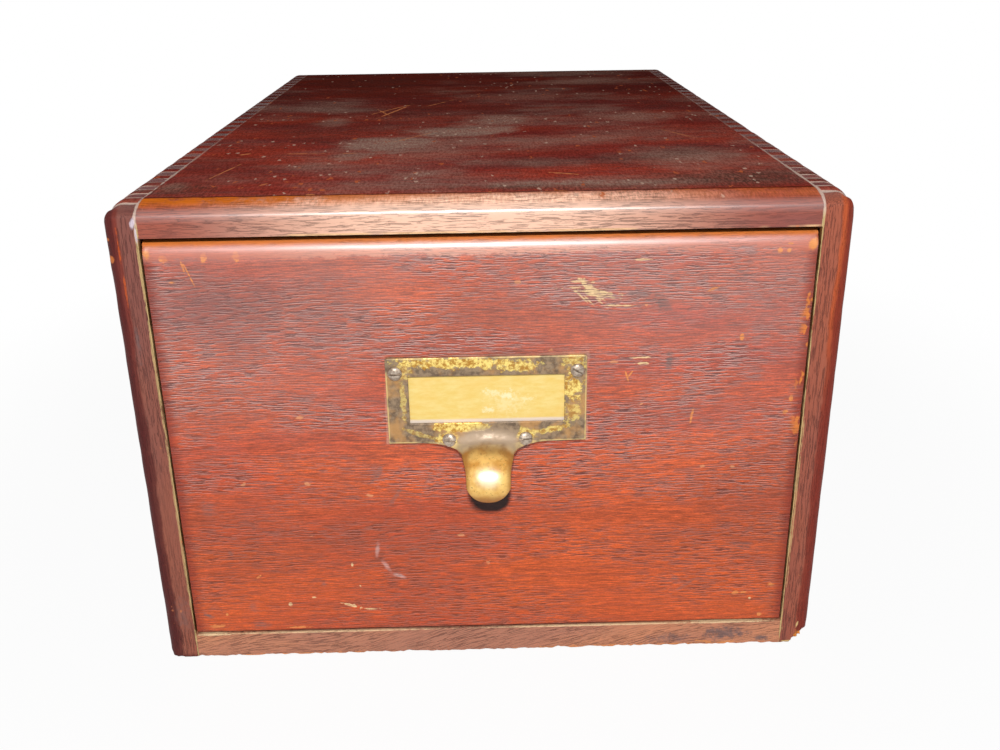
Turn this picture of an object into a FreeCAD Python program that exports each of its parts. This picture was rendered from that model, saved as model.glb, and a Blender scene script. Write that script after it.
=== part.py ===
import FreeCAD, Part
import math
import os
import re

# A one-drawer wooden desk cabinet for index cards. The case is four boards held
# at the corners by finger joints, and the drawer carries a brass card holder with
# a finger pull. The origin is the middle of the case's underside, the drawer faces
# -Y and +Z is up. All sizes are millimetres.

Vector = FreeCAD.Vector
Rotation = FreeCAD.Rotation

doc = FreeCAD.newDocument("IndexCardDrawer")
sheet = doc.addObject("Spreadsheet::Sheet", "Sizes")

drivingSizes = [
    # case
    ("case_width", "250"),
    ("case_height", "179.3"),
    ("case_wall", "11"),
    ("finger_width", "6.35"),
    ("finger_count", "61"),
    ("long_edge_radius", "6"),
    ("foot_edge_radius", "3.8"),
    ("front_edge_radius", "4.5"),
    ("rear_edge_radius", "2.5"),
    ("top_roll_depth", "12"),
    ("top_roll_height", "4.5"),
    ("rabbet_width", "5.5"),
    ("back_panel_thickness", "6"),
    # drawer box
    ("drawer_side_play", "0.6"),
    ("drawer_floor_play", "0.3"),
    ("drawer_top_gap", "1.6"),
    ("drawer_rear_play", "1"),
    ("front_thickness", "17"),
    ("front_edge_roll", "5"),
    ("front_lower_arris", "1"),
    ("box_wall", "9.5"),
    ("side_top_gap", "11"),
    ("side_waist_drop", "42"),
    ("side_horn_length", "34"),
    ("scoop_radius", "24"),
    ("horn_radius", "12"),
    ("tail_length", "10"),
    ("tail_count", "6"),
    ("tail_pin_width", "7"),
    ("tail_flare", "1.6"),
    ("rear_finger_count", "12"),
    ("box_back_gap", "4.1"),
    ("bottom_thickness", "6"),
    ("bottom_rise", "9"),
    ("groove_depth", "5"),
    # stop under the top board
    ("stop_length", "32"),
    ("stop_width", "12"),
    ("stop_thickness", "7"),
    ("stop_end_radius", "5"),
    ("stop_swing_play", "1.4"),
    ("stop_notch_play", "2"),
    ("stop_screw_radius", "1.75"),
    ("stop_screw_grip", "8"),
    ("stop_head_radius", "3.6"),
    ("stop_head_height", "2"),
    ("pivot_play", "0.05"),
    ("stop_play", "0.2"),
    # card holder and pull
    ("plate_shift", "0.6"),
    ("plate_width", "70.6"),
    ("plate_height", "32.6"),
    ("plate_thickness", "1.6"),
    ("plate_bottom", "91.9"),
    ("plate_corner_radius", "0.8"),
    ("window_width", "54.9"),
    ("window_height", "18"),
    ("window_rise", "7.6"),
    ("pocket_width", "57.6"),
    ("pocket_depth", "0.7"),
    ("pocket_lip", "1.2"),
    ("card_play", "0.15"),
    ("card_side_play", "0.4"),
    ("card_height", "22"),
    ("pull_width", "16.5"),
    ("pull_reach", "17.4"),
    ("pull_sheet", "1.3"),
    ("pull_shoulder_width", "26"),
    ("pull_trim", "0.6"),
    ("pull_crown", "3.8"),
    ("pull_cove_radius", "8.8"),
    ("pull_bulb_radius", "9.2"),
    ("pull_slope_angle", "60"),
    ("pull_lip_angle", "51.5"),
    ("pull_rise", "7.5"),
    # screws
    ("holder_screw_radius", "1.2"),
    ("holder_screw_grip", "9"),
    ("holder_head_radius", "2.35"),
    ("holder_head_height", "1.5"),
    ("head_taper", "0.7"),
    ("upper_screw_spread", "63.8"),
    ("upper_screw_inset", "5.5"),
    ("lower_screw_spread", "27.2"),
    ("lower_screw_rise", "1.4"),
    ("slot_width", "0.7"),
    ("slot_depth", "0.6"),
    ("brad_thickness", "1.6"),
    ("brad_length", "16"),
    ("brad_head_width", "3.4"),
    ("brad_head_depth", "1.2"),
    # follower block
    ("follower_side_play", "3.9"),
    ("follower_top_drop", "38"),
    ("follower_thickness", "9.5"),
    ("follower_lean", "12"),
    ("follower_top_radius", "4"),
    ("follower_play", "0.3"),
    ("follower_forward", "215"),
    ("follower_backward", "18"),
    ("follower_end_play", "9.5"),
    ("foot_width", "60"),
    ("foot_length", "62"),
    ("foot_height", "16"),
    ("foot_radius", "6"),
    ("foot_brad_spread", "40"),
    ("foot_brad_rise", "9"),
    ("stem_radius", "3"),
    ("stem_slot_play", "0.6"),
    ("stem_setback", "38"),
    ("stem_head_radius", "5.5"),
    ("stem_head_height", "2.5"),
    ("eye_radius", "5"),
    ("eye_thickness", "5"),
    ("shoe_width", "24"),
    ("shoe_length", "30"),
    ("shoe_thickness", "2"),
    ("pad_width", "18"),
    ("pad_thickness", "1.5"),
    ("cam_radius", "6.5"),
    ("cam_offset", "0.8"),
    ("cam_play", "0.2"),
    ("lever_width", "14"),
    ("lever_length", "36"),
    ("lever_thickness", "5"),
    ("lever_end_radius", "6"),
    ("lever_eye_play", "0.3"),
    ("pin_radius", "1.5"),
]
aliases = set()
for row, (alias, number) in enumerate(drivingSizes, start=1):
    sheet.set(f"A{row}", alias)
    sheet.set(f"B{row}", number)
    sheet.setAlias(f"B{row}", alias)
    aliases.add(alias)
doc.recompute()

# Sizes and places that follow from the driving ones, as formulas.
case_depth = "(finger_width * finger_count)"
front_y = f"(-{case_depth} / 2)"
back_y = f"({case_depth} / 2)"
opening_width = "(case_width - 2 * case_wall)"
ceiling_z = "(case_height - case_wall)"
panel_width = f"({opening_width} + 2 * rabbet_width)"
panel_height = "(case_height - 2 * case_wall + 2 * rabbet_width)"
panel_y = f"({back_y} - back_panel_thickness)"
drawer_width = f"({opening_width} - 2 * drawer_side_play)"
drawer_z = "(case_wall + drawer_floor_play)"
front_height = f"({ceiling_z} - drawer_top_gap - {drawer_z})"
front_rear_y = f"({front_y} + front_thickness)"
tail_y = f"({front_rear_y} - tail_length)"
box_rear_y = f"({panel_y} - drawer_rear_play)"
box_back_y = f"({box_rear_y} - box_wall)"
side_length = f"({box_rear_y} - {tail_y})"
side_height = f"({ceiling_z} - side_top_gap - {drawer_z})"
tail_pitch = f"({side_height} / tail_count)"
rear_finger = f"({side_height} / rear_finger_count)"
bottom_z = f"({drawer_z} + bottom_rise)"
bottom_top_z = f"({bottom_z} + bottom_thickness)"
inner_width = f"({drawer_width} - 2 * box_wall)"
stop_swing = "(sqrt(stop_length ^ 2 + stop_width ^ 2) / 2)"
stop_y = f"({front_rear_y} + {stop_swing} + stop_swing_play)"
stop_z = f"({ceiling_z} - stop_thickness - stop_play)"
plate_top = "(plate_bottom + plate_height)"
plate_y = f"({front_y} - plate_thickness)"
pocket_z = "(plate_bottom + window_rise - pocket_lip)"
foot_z = f"({bottom_top_z} + follower_play)"
follower_width = f"({inner_width} - 2 * follower_side_play)"
follower_height = f"({side_height} - follower_top_drop)"
foot_y = f"({box_back_y} - follower_backward - follower_end_play - foot_length)"
follower_y = f"({foot_y} - follower_thickness * cos(follower_lean * 1 deg))"
stem_y = f"({follower_y} + stem_setback)"
shoe_z = f"({bottom_z} - follower_play - shoe_thickness)"
pad_z = f"({foot_z} + foot_height)"
cam_z = f"({pad_z} + pad_thickness + cam_radius + cam_offset + cam_play)"

alongY = Rotation(Vector(1, 0, 0), -90)
alongMinusY = Rotation(Vector(1, 0, 0), 90)
alongX = Rotation(Vector(0, 1, 0), 90)
sideView = Rotation(Vector(1, 1, 1), 120)


def formula(text):
    """Write each size in the text as its cell in the sheet."""
    return re.sub(r"\b[a-z_]+\b", lambda word: cellOf(word.group()), str(text))


def cellOf(word):
    return f"Sizes.{word}" if word in aliases else word


def size(alias):
    return float(sheet.get(alias))


def bind(item, **formulas):
    for name, text in formulas.items():
        item.setExpression(name, formula(text))


def place(item, x="0", y="0", z="0", turn=None, frame="Placement"):
    if turn is not None:
        setattr(item, frame, FreeCAD.Placement(Vector(), turn))
    for axis, text in (("x", x), ("y", y), ("z", z)):
        item.setExpression(f".{frame}.Base.{axis}", formula(text))


# Part primitives and booleans

def block(name, length, width, height, x="0", y="0", z="0", turn=None):
    item = doc.addObject("Part::Box", name)
    bind(item, Length=length, Width=width, Height=height)
    place(item, x, y, z, turn)
    return item


def rod(name, radius, height, x="0", y="0", z="0", turn=None):
    item = doc.addObject("Part::Cylinder", name)
    bind(item, Radius=radius, Height=height)
    place(item, x, y, z, turn)
    return item


def cut(name, base, *tools):
    for number, tool in enumerate(tools, start=1):
        item = doc.addObject("Part::Cut", name if number == len(tools) else f"{name}_cut_{number}")
        item.Base = base
        item.Tool = tool
        base = item
    return base


def fuse(name, *shapes):
    item = doc.addObject("Part::MultiFuse", name)
    item.Shapes = list(shapes)
    return item


def common(name, *shapes):
    item = doc.addObject("Part::MultiCommon", name)
    item.Shapes = list(shapes)
    return item


def copies(name, master, places):
    """One group of separate solids: the master at each place, given as x, y, z and a turn."""
    links = []
    for number, (x, y, z, turn) in enumerate(places, start=1):
        link = doc.addObject("App::Link", f"{name}_{number}")
        link.LinkedObject = master
        place(link, x, y, z, turn)
        links.append(link)
    group = doc.addObject("Part::Compound", name)
    group.Links = links
    return group


def edgesOf(shape, axis, chosen):
    """Names of the straight edges parallel to an axis whose middle passes the test."""
    direction = {"x": Vector(1, 0, 0), "y": Vector(0, 1, 0), "z": Vector(0, 0, 1)}[axis]
    names = []
    for number, edge in enumerate(shape.Edges, start=1):
        ends = [vertex.Point for vertex in edge.Vertexes]
        if len(ends) < 2 or edge.Curve.TypeId != "Part::GeomLine":
            continue
        run = (ends[1] - ends[0]).normalize()
        if abs(run.dot(direction)) > 0.999 and chosen((ends[0] + ends[1]) / 2):
            names.append(f"Edge{number}")
    return names


# PartDesign bodies

def newBody(name):
    return doc.addObject("PartDesign::Body", name)


def originFeature(body, role):
    return next(feature for feature in body.Origin.OriginFeatures if feature.Role == role)


def feature(body, kind, name, x="0", y="0", z="0", turn=None, **formulas):
    item = body.newObject(f"PartDesign::{kind}", name)
    item.AttachmentSupport = [(originFeature(body, "XY_Plane"), "")]
    item.MapMode = "FlatFace"
    bind(item, **formulas)
    place(item, x, y, z, turn, frame="AttachmentOffset")
    item.recompute()
    return item


def pattern(body, name, originals, role, length, count):
    item = body.newObject("PartDesign::LinearPattern", name)
    item.Originals = originals
    item.Direction = (originFeature(body, role), [""])
    bind(item, Length=length, Occurrences=count)
    body.Tip = item
    item.recompute()
    return item


def roundEdges(body, name, radius, axis, chosen):
    base = body.Tip
    item = body.newObject("PartDesign::Fillet", name)
    item.Base = (base, edgesOf(base.Shape, axis, chosen))
    bind(item, Radius=radius)
    body.Tip = item
    item.recompute()
    return item


def facetEdges(body, name, radius, axis, chosen):
    """Three flats along an edge, each tangent to the radius: a round that stays light over many fingers."""
    for step, cutBack in enumerate(("(2 - sqrt(2))", "(tan(22.5 deg) - tan(11.25 deg))"), start=1):
        base = body.Tip
        item = body.newObject("PartDesign::Chamfer", f"{name}_{step}")
        item.Base = (base, edgesOf(base.Shape, axis, chosen))
        bind(item, Size=f"{radius} * {cutBack}")
        body.Tip = item
        item.recompute()


# Case

def caseEnvelope():
    """The case's outside after its arrises were worn round: three outlines in common."""
    middle = size("case_height") / 2
    frontView = newBody("envelope_front_view")
    feature(frontView, "AdditiveBox", "front_view_block", "-case_width / 2", front_y, "0",
            Length="case_width", Width=case_depth, Height="case_height")
    facetEdges(frontView, "upper_long_edges", "long_edge_radius", "y", lambda point: point.z > middle)
    facetEdges(frontView, "lower_long_edges", "foot_edge_radius", "y", lambda point: point.z < middle)

    planView = newBody("envelope_plan_view")
    feature(planView, "AdditiveBox", "plan_view_block", "-case_width / 2", front_y, "0",
            Length="case_width", Width=case_depth, Height="case_height")
    roundEdges(planView, "front_corners", "front_edge_radius", "z", lambda point: point.y < 0)
    roundEdges(planView, "rear_corners", "rear_edge_radius", "z", lambda point: point.y > 0)

    oval = doc.addObject("Part::Ellipse", "roll_oval")
    bind(oval, MajorRadius="top_roll_depth", MinorRadius="top_roll_height")
    place(oval, "-case_width", f"{front_y} + top_roll_depth", "case_height - top_roll_height", sideView)
    roll = doc.addObject("Part::Extrusion", "roll_core")
    roll.Base = oval
    roll.DirMode = "Custom"
    roll.Dir = Vector(1, 0, 0)
    roll.Solid = True
    bind(roll, LengthFwd="2 * case_width")
    corner = block("roll_corner", "2 * case_width", "top_roll_depth", "top_roll_height",
                   "-case_width", front_y, "case_height - top_roll_height")
    waste = cut("roll_waste", corner, roll)
    blank = block("side_view_block", "case_width", case_depth, "case_height", "-case_width / 2", front_y, "0")
    return common("case_envelope", frontView, planView, cut("envelope_side_view", blank, waste))


def combBoard(name, width, height, x, z, notches, notchHeight, firstFinger, notchCount):
    """A board with a comb of square notches at its two joints, along the case's depth."""
    body = newBody(f"{name}_comb")
    feature(body, "AdditiveBox", f"{name}_board", x, front_y, z, Length=width, Width=case_depth, Height=height)
    cuts = []
    for number, (notchX, notchZ) in enumerate(notches, start=1):
        cuts.append(feature(body, "SubtractiveBox", f"{name}_notch_{number}", notchX,
                            f"{front_y} + {firstFinger} * finger_width", notchZ,
                            Length="case_wall", Width="finger_width", Height=notchHeight))
    pattern(body, f"{name}_fingers", cuts, "Y_Axis", f"2 * finger_width * ({notchCount} - 1)", notchCount)
    return body


def makeCase(panelBlank, backBrads, stopScrew):
    """Four comb boards; the side boards hold the first and last finger, so their odd ones are cut away."""
    oddFingers = "floor(finger_count / 2)"
    evenFingers = "ceil(finger_count / 2)"
    outline = cut("case_outline", caseEnvelope(), panelBlank, backBrads, stopScrew)
    for name, x in (("left_side", "-case_width / 2"), ("right_side", "case_width / 2 - case_wall")):
        comb = combBoard(name, "case_wall", "case_height", x, "0", [(x, "0"), (x, ceiling_z)],
                         "case_wall", 1, oddFingers)
        common(name, comb, outline)
    for name, z in (("top_board", ceiling_z), ("bottom_board", "0")):
        ends = [("-case_width / 2", z), ("case_width / 2 - case_wall", z)]
        comb = combBoard(name, "case_width", "case_wall", "-case_width / 2", z, ends,
                         "case_wall", 0, evenFingers)
        common(name, comb, outline)
    cut("back_panel", panelBlank, backBrads)


def cutBrad(name):
    """A square cut nail along +Z with the top of its head at the origin."""
    shank = block(f"{name}_shank", "brad_thickness", "brad_thickness", "brad_length",
                  "-brad_thickness / 2", "-brad_thickness / 2", "-brad_length")
    head = block(f"{name}_head", "brad_head_width", "brad_thickness", "brad_head_depth",
                 "-brad_head_width / 2", "-brad_thickness / 2", "-brad_head_depth")
    return fuse(name, shank, head)


def slottedScrew(name, radius, grip, headRadius, headHeight):
    """A slotted screw with a tapering head, along +Z with the seat of its head at the origin."""
    head = doc.addObject("Part::Cone", f"{name}_head")
    bind(head, Radius1=headRadius, Radius2=f"head_taper * {headRadius}", Height=headHeight)
    shank = rod(f"{name}_shank", radius, grip, z=f"-({grip})")
    slot = block(f"{name}_slot", f"2 * {headRadius}", "slot_width", "slot_depth",
                 f"-{headRadius}", "-slot_width / 2", f"{headHeight} - slot_depth")
    return cut(name, fuse(f"{name}_blank", head, shank), slot)


def makeBackBrads(brad):
    """Nails round the rear panel's rim, into the four boards."""
    rim = "rabbet_width / 2"
    places = []
    for share in (-0.4, 0, 0.4):
        for z in (f"case_wall - {rim}", f"{ceiling_z} + {rim}"):
            places.append((f"{share} * {opening_width}", back_y, z, alongY))
    for side in (-1, 1):
        for share in (0.25, 0.75):
            places.append((f"{side} * ({opening_width} / 2 + {rim})", back_y, f"{share} * case_height", alongY))
    return copies("back_brads", brad, places)


def makeStop():
    """A turn button under the top board, which the drawer's back comes up against."""
    button = newBody("stop_button")
    feature(button, "AdditiveBox", "button_block", "-stop_length / 2", f"{stop_y} - stop_width / 2", stop_z,
            Length="stop_length", Width="stop_width", Height="stop_thickness")
    roundEdges(button, "button_ends", "stop_end_radius", "z", lambda point: True)
    feature(button, "SubtractiveCylinder", "button_bore", "0", stop_y, stop_z,
            Radius="stop_screw_radius + pivot_play", Height="stop_thickness")


# Drawer

def makeDrawerBottom():
    """Thin board in grooves all round, slotted down the middle for the follower's bolt."""
    width = f"({inner_width} + 2 * groove_depth)"
    y = f"({front_rear_y} - groove_depth)"
    board = block("bottom_blank", width, f"{box_back_y} + groove_depth - {y}", "bottom_thickness",
                  f"-{width} / 2", y, bottom_z)
    half = "(stem_radius + stem_slot_play)"
    slotFront = f"({stem_y} - follower_forward)"
    slotBack = f"({stem_y} + follower_backward)"
    run = block("slot_run", f"2 * {half}", f"{slotBack} - {slotFront}", "bottom_thickness",
                f"-{half}", slotFront, bottom_z)
    ends = [rod(f"slot_end_{number}", half, "bottom_thickness", "0", y, bottom_z)
            for number, y in enumerate((slotFront, slotBack), start=1)]
    return cut("drawer_bottom", board, fuse("bottom_slot", run, *ends))


def makeDrawerSide(name, x, bottom):
    """A side with dovetails in front, finger joints behind and a low waist between two horns."""
    body = newBody(f"{name}_blank")
    feature(body, "AdditiveBox", f"{name}_board", x, tail_y, drawer_z,
            Length="box_wall", Width=side_length, Height=side_height)
    feature(body, "SubtractiveBox", f"{name}_scoop", x, f"{front_rear_y} + side_horn_length",
            f"{drawer_z} + {side_height} - side_waist_drop", Length="box_wall",
            Width=f"{box_back_y} - {front_rear_y} - 2 * side_horn_length", Height="side_waist_drop")
    crest = size("case_height") - size("case_wall") - size("side_top_gap")
    waist = crest - size("side_waist_drop")
    length = size("finger_width") * size("finger_count")
    inside = length / 2 - size("front_thickness") - size("side_horn_length") / 2
    roundEdges(body, f"{name}_scoop_corners", "scoop_radius", "x", lambda point: abs(point.z - waist) < 1)
    roundEdges(body, f"{name}_horns", "horn_radius", "x",
               lambda point: abs(point.z - crest) < 1 and abs(point.y) < inside)
    gap = feature(body, "SubtractiveWedge", f"{name}_pin_gap", x, tail_y, f"{drawer_z} + {tail_pitch}",
                  Xmin="0", Xmax="box_wall", X2min="0", X2max="box_wall", Ymin="0", Ymax="tail_length",
                  Zmin="-tail_pin_width / 2", Zmax="tail_pin_width / 2",
                  Z2min="-tail_pin_width / 2 - tail_flare", Z2max="tail_pin_width / 2 + tail_flare")
    pattern(body, f"{name}_pins", [gap], "Z_Axis", f"{tail_pitch} * (tail_count - 2)", "tail_count - 1")
    notch = feature(body, "SubtractiveBox", f"{name}_notch", x, box_back_y, drawer_z,
                    Length="box_wall", Width="box_wall", Height=rear_finger)
    pattern(body, f"{name}_notches", [notch], "Z_Axis", f"2 * {rear_finger} * (floor(rear_finger_count / 2) - 1)",
            "floor(rear_finger_count / 2)")
    return cut(name, body, bottom)


def makeDrawerFront(sides, bottom, holderScrews):
    body = newBody("front_blank")
    feature(body, "AdditiveBox", "front_board", f"-{drawer_width} / 2", front_y, drawer_z,
            Length=drawer_width, Width="front_thickness", Height=front_height)
    face = -size("finger_width") * size("finger_count") / 2
    middle = size("case_height") / 2
    corners = edgesOf(body.Tip.Shape, "z", lambda point: point.y < face + 1)
    brow = edgesOf(body.Tip.Shape, "x", lambda point: point.y < face + 1 and point.z > middle)
    roll = body.newObject("PartDesign::Fillet", "front_roll")
    roll.Base = (body.getObject("front_board"), corners + brow)
    bind(roll, Radius="front_edge_roll")
    body.Tip = roll
    roll.recompute()
    roundEdges(body, "front_foot", "front_lower_arris", "x",
               lambda point: point.y < face + 1 and point.z < middle)
    return cut("drawer_front", body, *sides, bottom, holderScrews)


def makeDrawerBack(sides, bottom):
    """The back stands taller than the sides, with a notch that lets the turned button through."""
    top = f"({ceiling_z} - box_back_gap)"
    board = block("back_blank", drawer_width, "box_wall", f"{top} - {drawer_z}",
                  f"-{drawer_width} / 2", box_back_y, drawer_z)
    width = "(stop_width + 2 * stop_notch_play)"
    floor = f"({stop_z} - stop_head_height - stop_notch_play)"
    notch = block("button_notch", width, "box_wall", f"{top} - {floor}",
                  f"-{width} / 2", box_back_y, floor)
    return cut("drawer_back", board, *sides, bottom, notch)


def makeDrawer(holderScrews):
    bottom = makeDrawerBottom()
    sides = [makeDrawerSide("drawer_left_side", f"-{drawer_width} / 2", bottom),
             makeDrawerSide("drawer_right_side", f"{drawer_width} / 2 - box_wall", bottom)]
    makeDrawerFront(sides, bottom, holderScrews)
    makeDrawerBack(sides, bottom)


# Card holder

def pullStations():
    """The pull's side profile: a cove out of the plate, a straight slope, then a bulb to its lip.

    Each station gives the crown's depth in front of the wood, its height, the outward
    normal's angle above level, the half width and how far the edges fall back.
    """
    cove = size("pull_cove_radius")
    bulb = size("pull_bulb_radius")
    slope = math.radians(size("pull_slope_angle"))
    lip = math.radians(size("pull_lip_angle"))
    face = size("plate_thickness")
    wide = size("pull_shoulder_width") / 2
    narrow = size("pull_width") / 2 + size("pull_trim")
    coveTop = size("plate_bottom") + size("pull_rise")
    coveDepth = face + cove * (1 - math.cos(slope))
    bulbDepth = size("pull_reach") - bulb * (1 - math.cos(slope))
    bulbTop = coveTop - cove * math.sin(slope) - (bulbDepth - coveDepth) / math.tan(slope)
    bulbCentre = bulbTop - bulb * math.sin(slope)
    stations = []
    for share in (0, 0.5, 1):
        angle = share * slope
        depth = face + cove * (1 - math.cos(angle))
        width = wide - (wide - narrow) * share ** 2 / 3
        sag = max(0.1, depth - face)
        stations.append((depth, coveTop - cove * math.sin(angle), angle, width, sag))
    for angle in (slope, slope / 2, 0, -lip / 2, -lip):
        depth = size("pull_reach") - bulb * (1 - math.cos(angle))
        stations.append((depth, bulbCentre + bulb * math.sin(angle), angle, narrow, size("pull_crown")))
    return stations


def crescent(depth, height, angle, halfWidth, sag):
    """A closed section of the stamped sheet, square to the pull's profile."""
    crown = Vector(0, -depth, height)
    outward = Vector(0, -math.cos(angle), math.sin(angle))
    across = Vector(halfWidth, 0, 0)
    inward = outward * -size("pull_sheet")
    left = crown - across - outward * sag
    right = crown + across - outward * sag
    outer = Part.Arc(left, crown, right).toShape()
    inner = Part.Arc(right + inward, crown + inward, left + inward).toShape()
    return Part.Wire([outer, Part.makeLine(right, right + inward), inner, Part.makeLine(left + inward, left)])


def makeHolder(screws):
    """Stamped brass: a plate with a card window, and a finger pull drawn out of its lower edge."""
    plate = newBody("holder_plate")
    feature(plate, "AdditiveBox", "plate_sheet", "plate_shift - plate_width / 2", plate_y, "plate_bottom",
            Length="plate_width", Width="plate_thickness", Height="plate_height")
    roundEdges(plate, "plate_corners", "plate_corner_radius", "y", lambda point: True)
    feature(plate, "SubtractiveBox", "window", "plate_shift - window_width / 2", plate_y,
            "plate_bottom + window_rise", Length="window_width", Width="plate_thickness", Height="window_height")

    sheetPull = doc.addObject("Part::Feature", "pull_sheet_loft")
    sheetPull.Shape = Part.makeLoft([crescent(*station) for station in pullStations()], True, True)
    place(sheetPull, "plate_shift", front_y, "0")

    lipZ = min(station[1] for station in pullStations())
    tip = f"({lipZ} + pull_width / 2)"
    depth = "(2 * pull_reach)"
    shoulder = block("outline_shoulder", "2 * pull_shoulder_width", depth, "plate_height",
                     "plate_shift - pull_shoulder_width", f"{front_y} - {depth}", "plate_bottom")
    tongue = block("outline_tongue", "pull_width", depth, f"plate_bottom + plate_height / 2 - {tip}",
                   "plate_shift - pull_width / 2", f"{front_y} - {depth}", tip)
    round_ = rod("outline_tip", "pull_width / 2", depth, "plate_shift", f"{front_y}", tip, alongMinusY)
    pull = common("pull", sheetPull, fuse("pull_outline", shoulder, tongue, round_))

    pocket = block("card_pocket", "pocket_width", "pocket_depth", f"{plate_top} - {pocket_z} + 1",
                   "plate_shift - pocket_width / 2", f"{front_y} - pocket_depth", pocket_z)
    return cut("label_holder", fuse("holder_blank", plate, pull), pocket, screws)


def makeHolderScrews():
    screw = slottedScrew("holder_screw", "holder_screw_radius", "(plate_thickness + holder_screw_grip)",
                      "holder_head_radius", "holder_head_height")
    upperZ = f"({plate_top} - upper_screw_inset)"
    lowerZ = "(plate_bottom + lower_screw_rise)"
    places = []
    for side, z, spread, twist in ((-1, upperZ, "upper_screw_spread", 0), (1, upperZ, "upper_screw_spread", 30),
                                   (-1, lowerZ, "lower_screw_spread", 8), (1, lowerZ, "lower_screw_spread", 0)):
        turn = Rotation(Vector(0, 1, 0), twist) * alongMinusY
        places.append((f"plate_shift + {side} * {spread} / 2", plate_y, z, turn))
    return copies("holder_screws", screw, places)


def makeCard():
    width = "(pocket_width - 2 * card_side_play)"
    block("label_card", width, "pocket_depth - 2 * card_play", "card_height",
          f"plate_shift - {width} / 2", f"{front_y} - pocket_depth + card_play", f"{pocket_z} + card_play")


# Follower

def makeFollower(brad):
    """The sliding block that props the cards up, clamped through the slot by a cam lever."""
    lean = Rotation(Vector(1, 0, 0), -size("follower_lean"))
    drop = "(follower_thickness * sin(follower_lean * 1 deg))"
    plateBody = newBody("follower_blank")
    board = feature(plateBody, "AdditiveBox", "follower_board", Length=follower_width,
                    Width="follower_thickness", Height=follower_height)
    middle = board.Shape.BoundBox.Center.z
    roundEdges(plateBody, "follower_corners", "3 * follower_top_radius", "y", lambda point: point.z > middle)
    roundEdges(plateBody, "follower_brow", "follower_top_radius", "x", lambda point: point.z > middle)
    place(plateBody, f"-{follower_width} / 2", follower_y, f"{foot_z} + {drop}", lean)

    brads = copies("foot_brads", brad, [
        (f"{side} * foot_brad_spread / 2",
         f"{follower_y} + foot_brad_rise * sin(follower_lean * 1 deg)",
         f"{foot_z} + {drop} + foot_brad_rise * cos(follower_lean * 1 deg)", lean * alongMinusY)
        for side in (-1, 1)])

    footBody = newBody("foot_blank")
    feature(footBody, "AdditiveBox", "foot_block", "-foot_width / 2", foot_y, foot_z,
            Length="foot_width", Width="foot_length", Height="foot_height")
    rear = max(vertex.Point.y for vertex in footBody.Tip.Shape.Vertexes)
    roundEdges(footBody, "foot_corners", "foot_radius", "z", lambda point: point.y > rear - 1)
    feature(footBody, "SubtractiveCylinder", "foot_bore", "0", stem_y, foot_z,
            Radius="stem_radius", Height="foot_height")

    # what stands in front of the leaning board's rear face is not foot
    reach = "(2 * follower_thickness)"
    relief = block("foot_relief", follower_width, reach, follower_height, turn=lean)
    place(relief, f"-{follower_width} / 2",
          f"{follower_y} - ({reach} - follower_thickness) * cos(follower_lean * 1 deg)",
          f"{foot_z} + {drop} + ({reach} - follower_thickness) * sin(follower_lean * 1 deg)")
    cut("follower_foot", footBody, relief, brads)
    cut("follower_plate", plateBody, brads)


def makeClamp():
    """A bolt with an eye, a shoe under the drawer's bottom, a pad and a cam lever on a pin."""
    stemRod = rod("stem_rod", "stem_radius", f"{cam_z} - {shoe_z}", "0", stem_y, shoe_z)
    stemHead = rod("stem_head", "stem_head_radius", "stem_head_height", "0", stem_y, f"{shoe_z} - stem_head_height")
    flats = block("stem_flats", "eye_thickness", "4 * eye_radius", "3 * cam_radius", "-eye_thickness / 2",
                  f"{stem_y} - 2 * eye_radius", f"{pad_z} + pad_thickness")
    lower = block("stem_lower", "4 * eye_radius", "4 * eye_radius", f"{pad_z} + pad_thickness - {shoe_z}",
                  "-2 * eye_radius", f"{stem_y} - 2 * eye_radius", shoe_z)
    shaped = common("stem_shaped", stemRod, fuse("stem_limits", flats, lower))
    eye = rod("stem_eye", "eye_radius", "eye_thickness", "-eye_thickness / 2", stem_y, cam_z, alongX)
    pin = rod("clamp_pin", "pin_radius", "lever_width", "-lever_width / 2", stem_y, cam_z, alongX)
    cut("clamp_bolt", fuse("bolt_blank", shaped, stemHead, eye), pin)

    shoe = block("shoe_blank", "shoe_width", "shoe_length", "shoe_thickness", "-shoe_width / 2",
                 f"{stem_y} - shoe_length / 2", shoe_z)
    cut("clamp_shoe", shoe, stemRod)
    pad = block("pad_blank", "pad_width", "pad_width", "pad_thickness", "-pad_width / 2",
                f"{stem_y} - pad_width / 2", pad_z)
    cut("clamp_pad", pad, stemRod)

    lever = newBody("clamp_lever")
    feature(lever, "AdditiveCylinder", "lever_cam", "-lever_width / 2", stem_y, f"{cam_z} - cam_offset", alongX,
            Radius="cam_radius", Height="lever_width")
    feature(lever, "AdditiveBox", "lever_handle", "-lever_width / 2", stem_y, f"{cam_z} - lever_thickness / 2",
            Length="lever_width", Width="lever_length", Height="lever_thickness")
    tipY = max(vertex.Point.y for vertex in lever.Tip.Shape.Vertexes)
    roundEdges(lever, "lever_tip", "lever_end_radius", "z", lambda point: point.y > tipY - 1)
    slot = "(eye_thickness + 2 * lever_eye_play)"
    feature(lever, "SubtractiveBox", "eye_slot", f"-{slot} / 2", f"{stem_y} - 2 * cam_radius",
            f"{cam_z} - 2 * cam_radius", Length=slot, Width="2 * cam_radius + eye_radius + lever_eye_play",
            Height="4 * cam_radius")
    feature(lever, "SubtractiveCylinder", "lever_bore", "-lever_width / 2", stem_y, cam_z, alongX,
            Radius="pin_radius + pivot_play", Height="lever_width")


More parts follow.
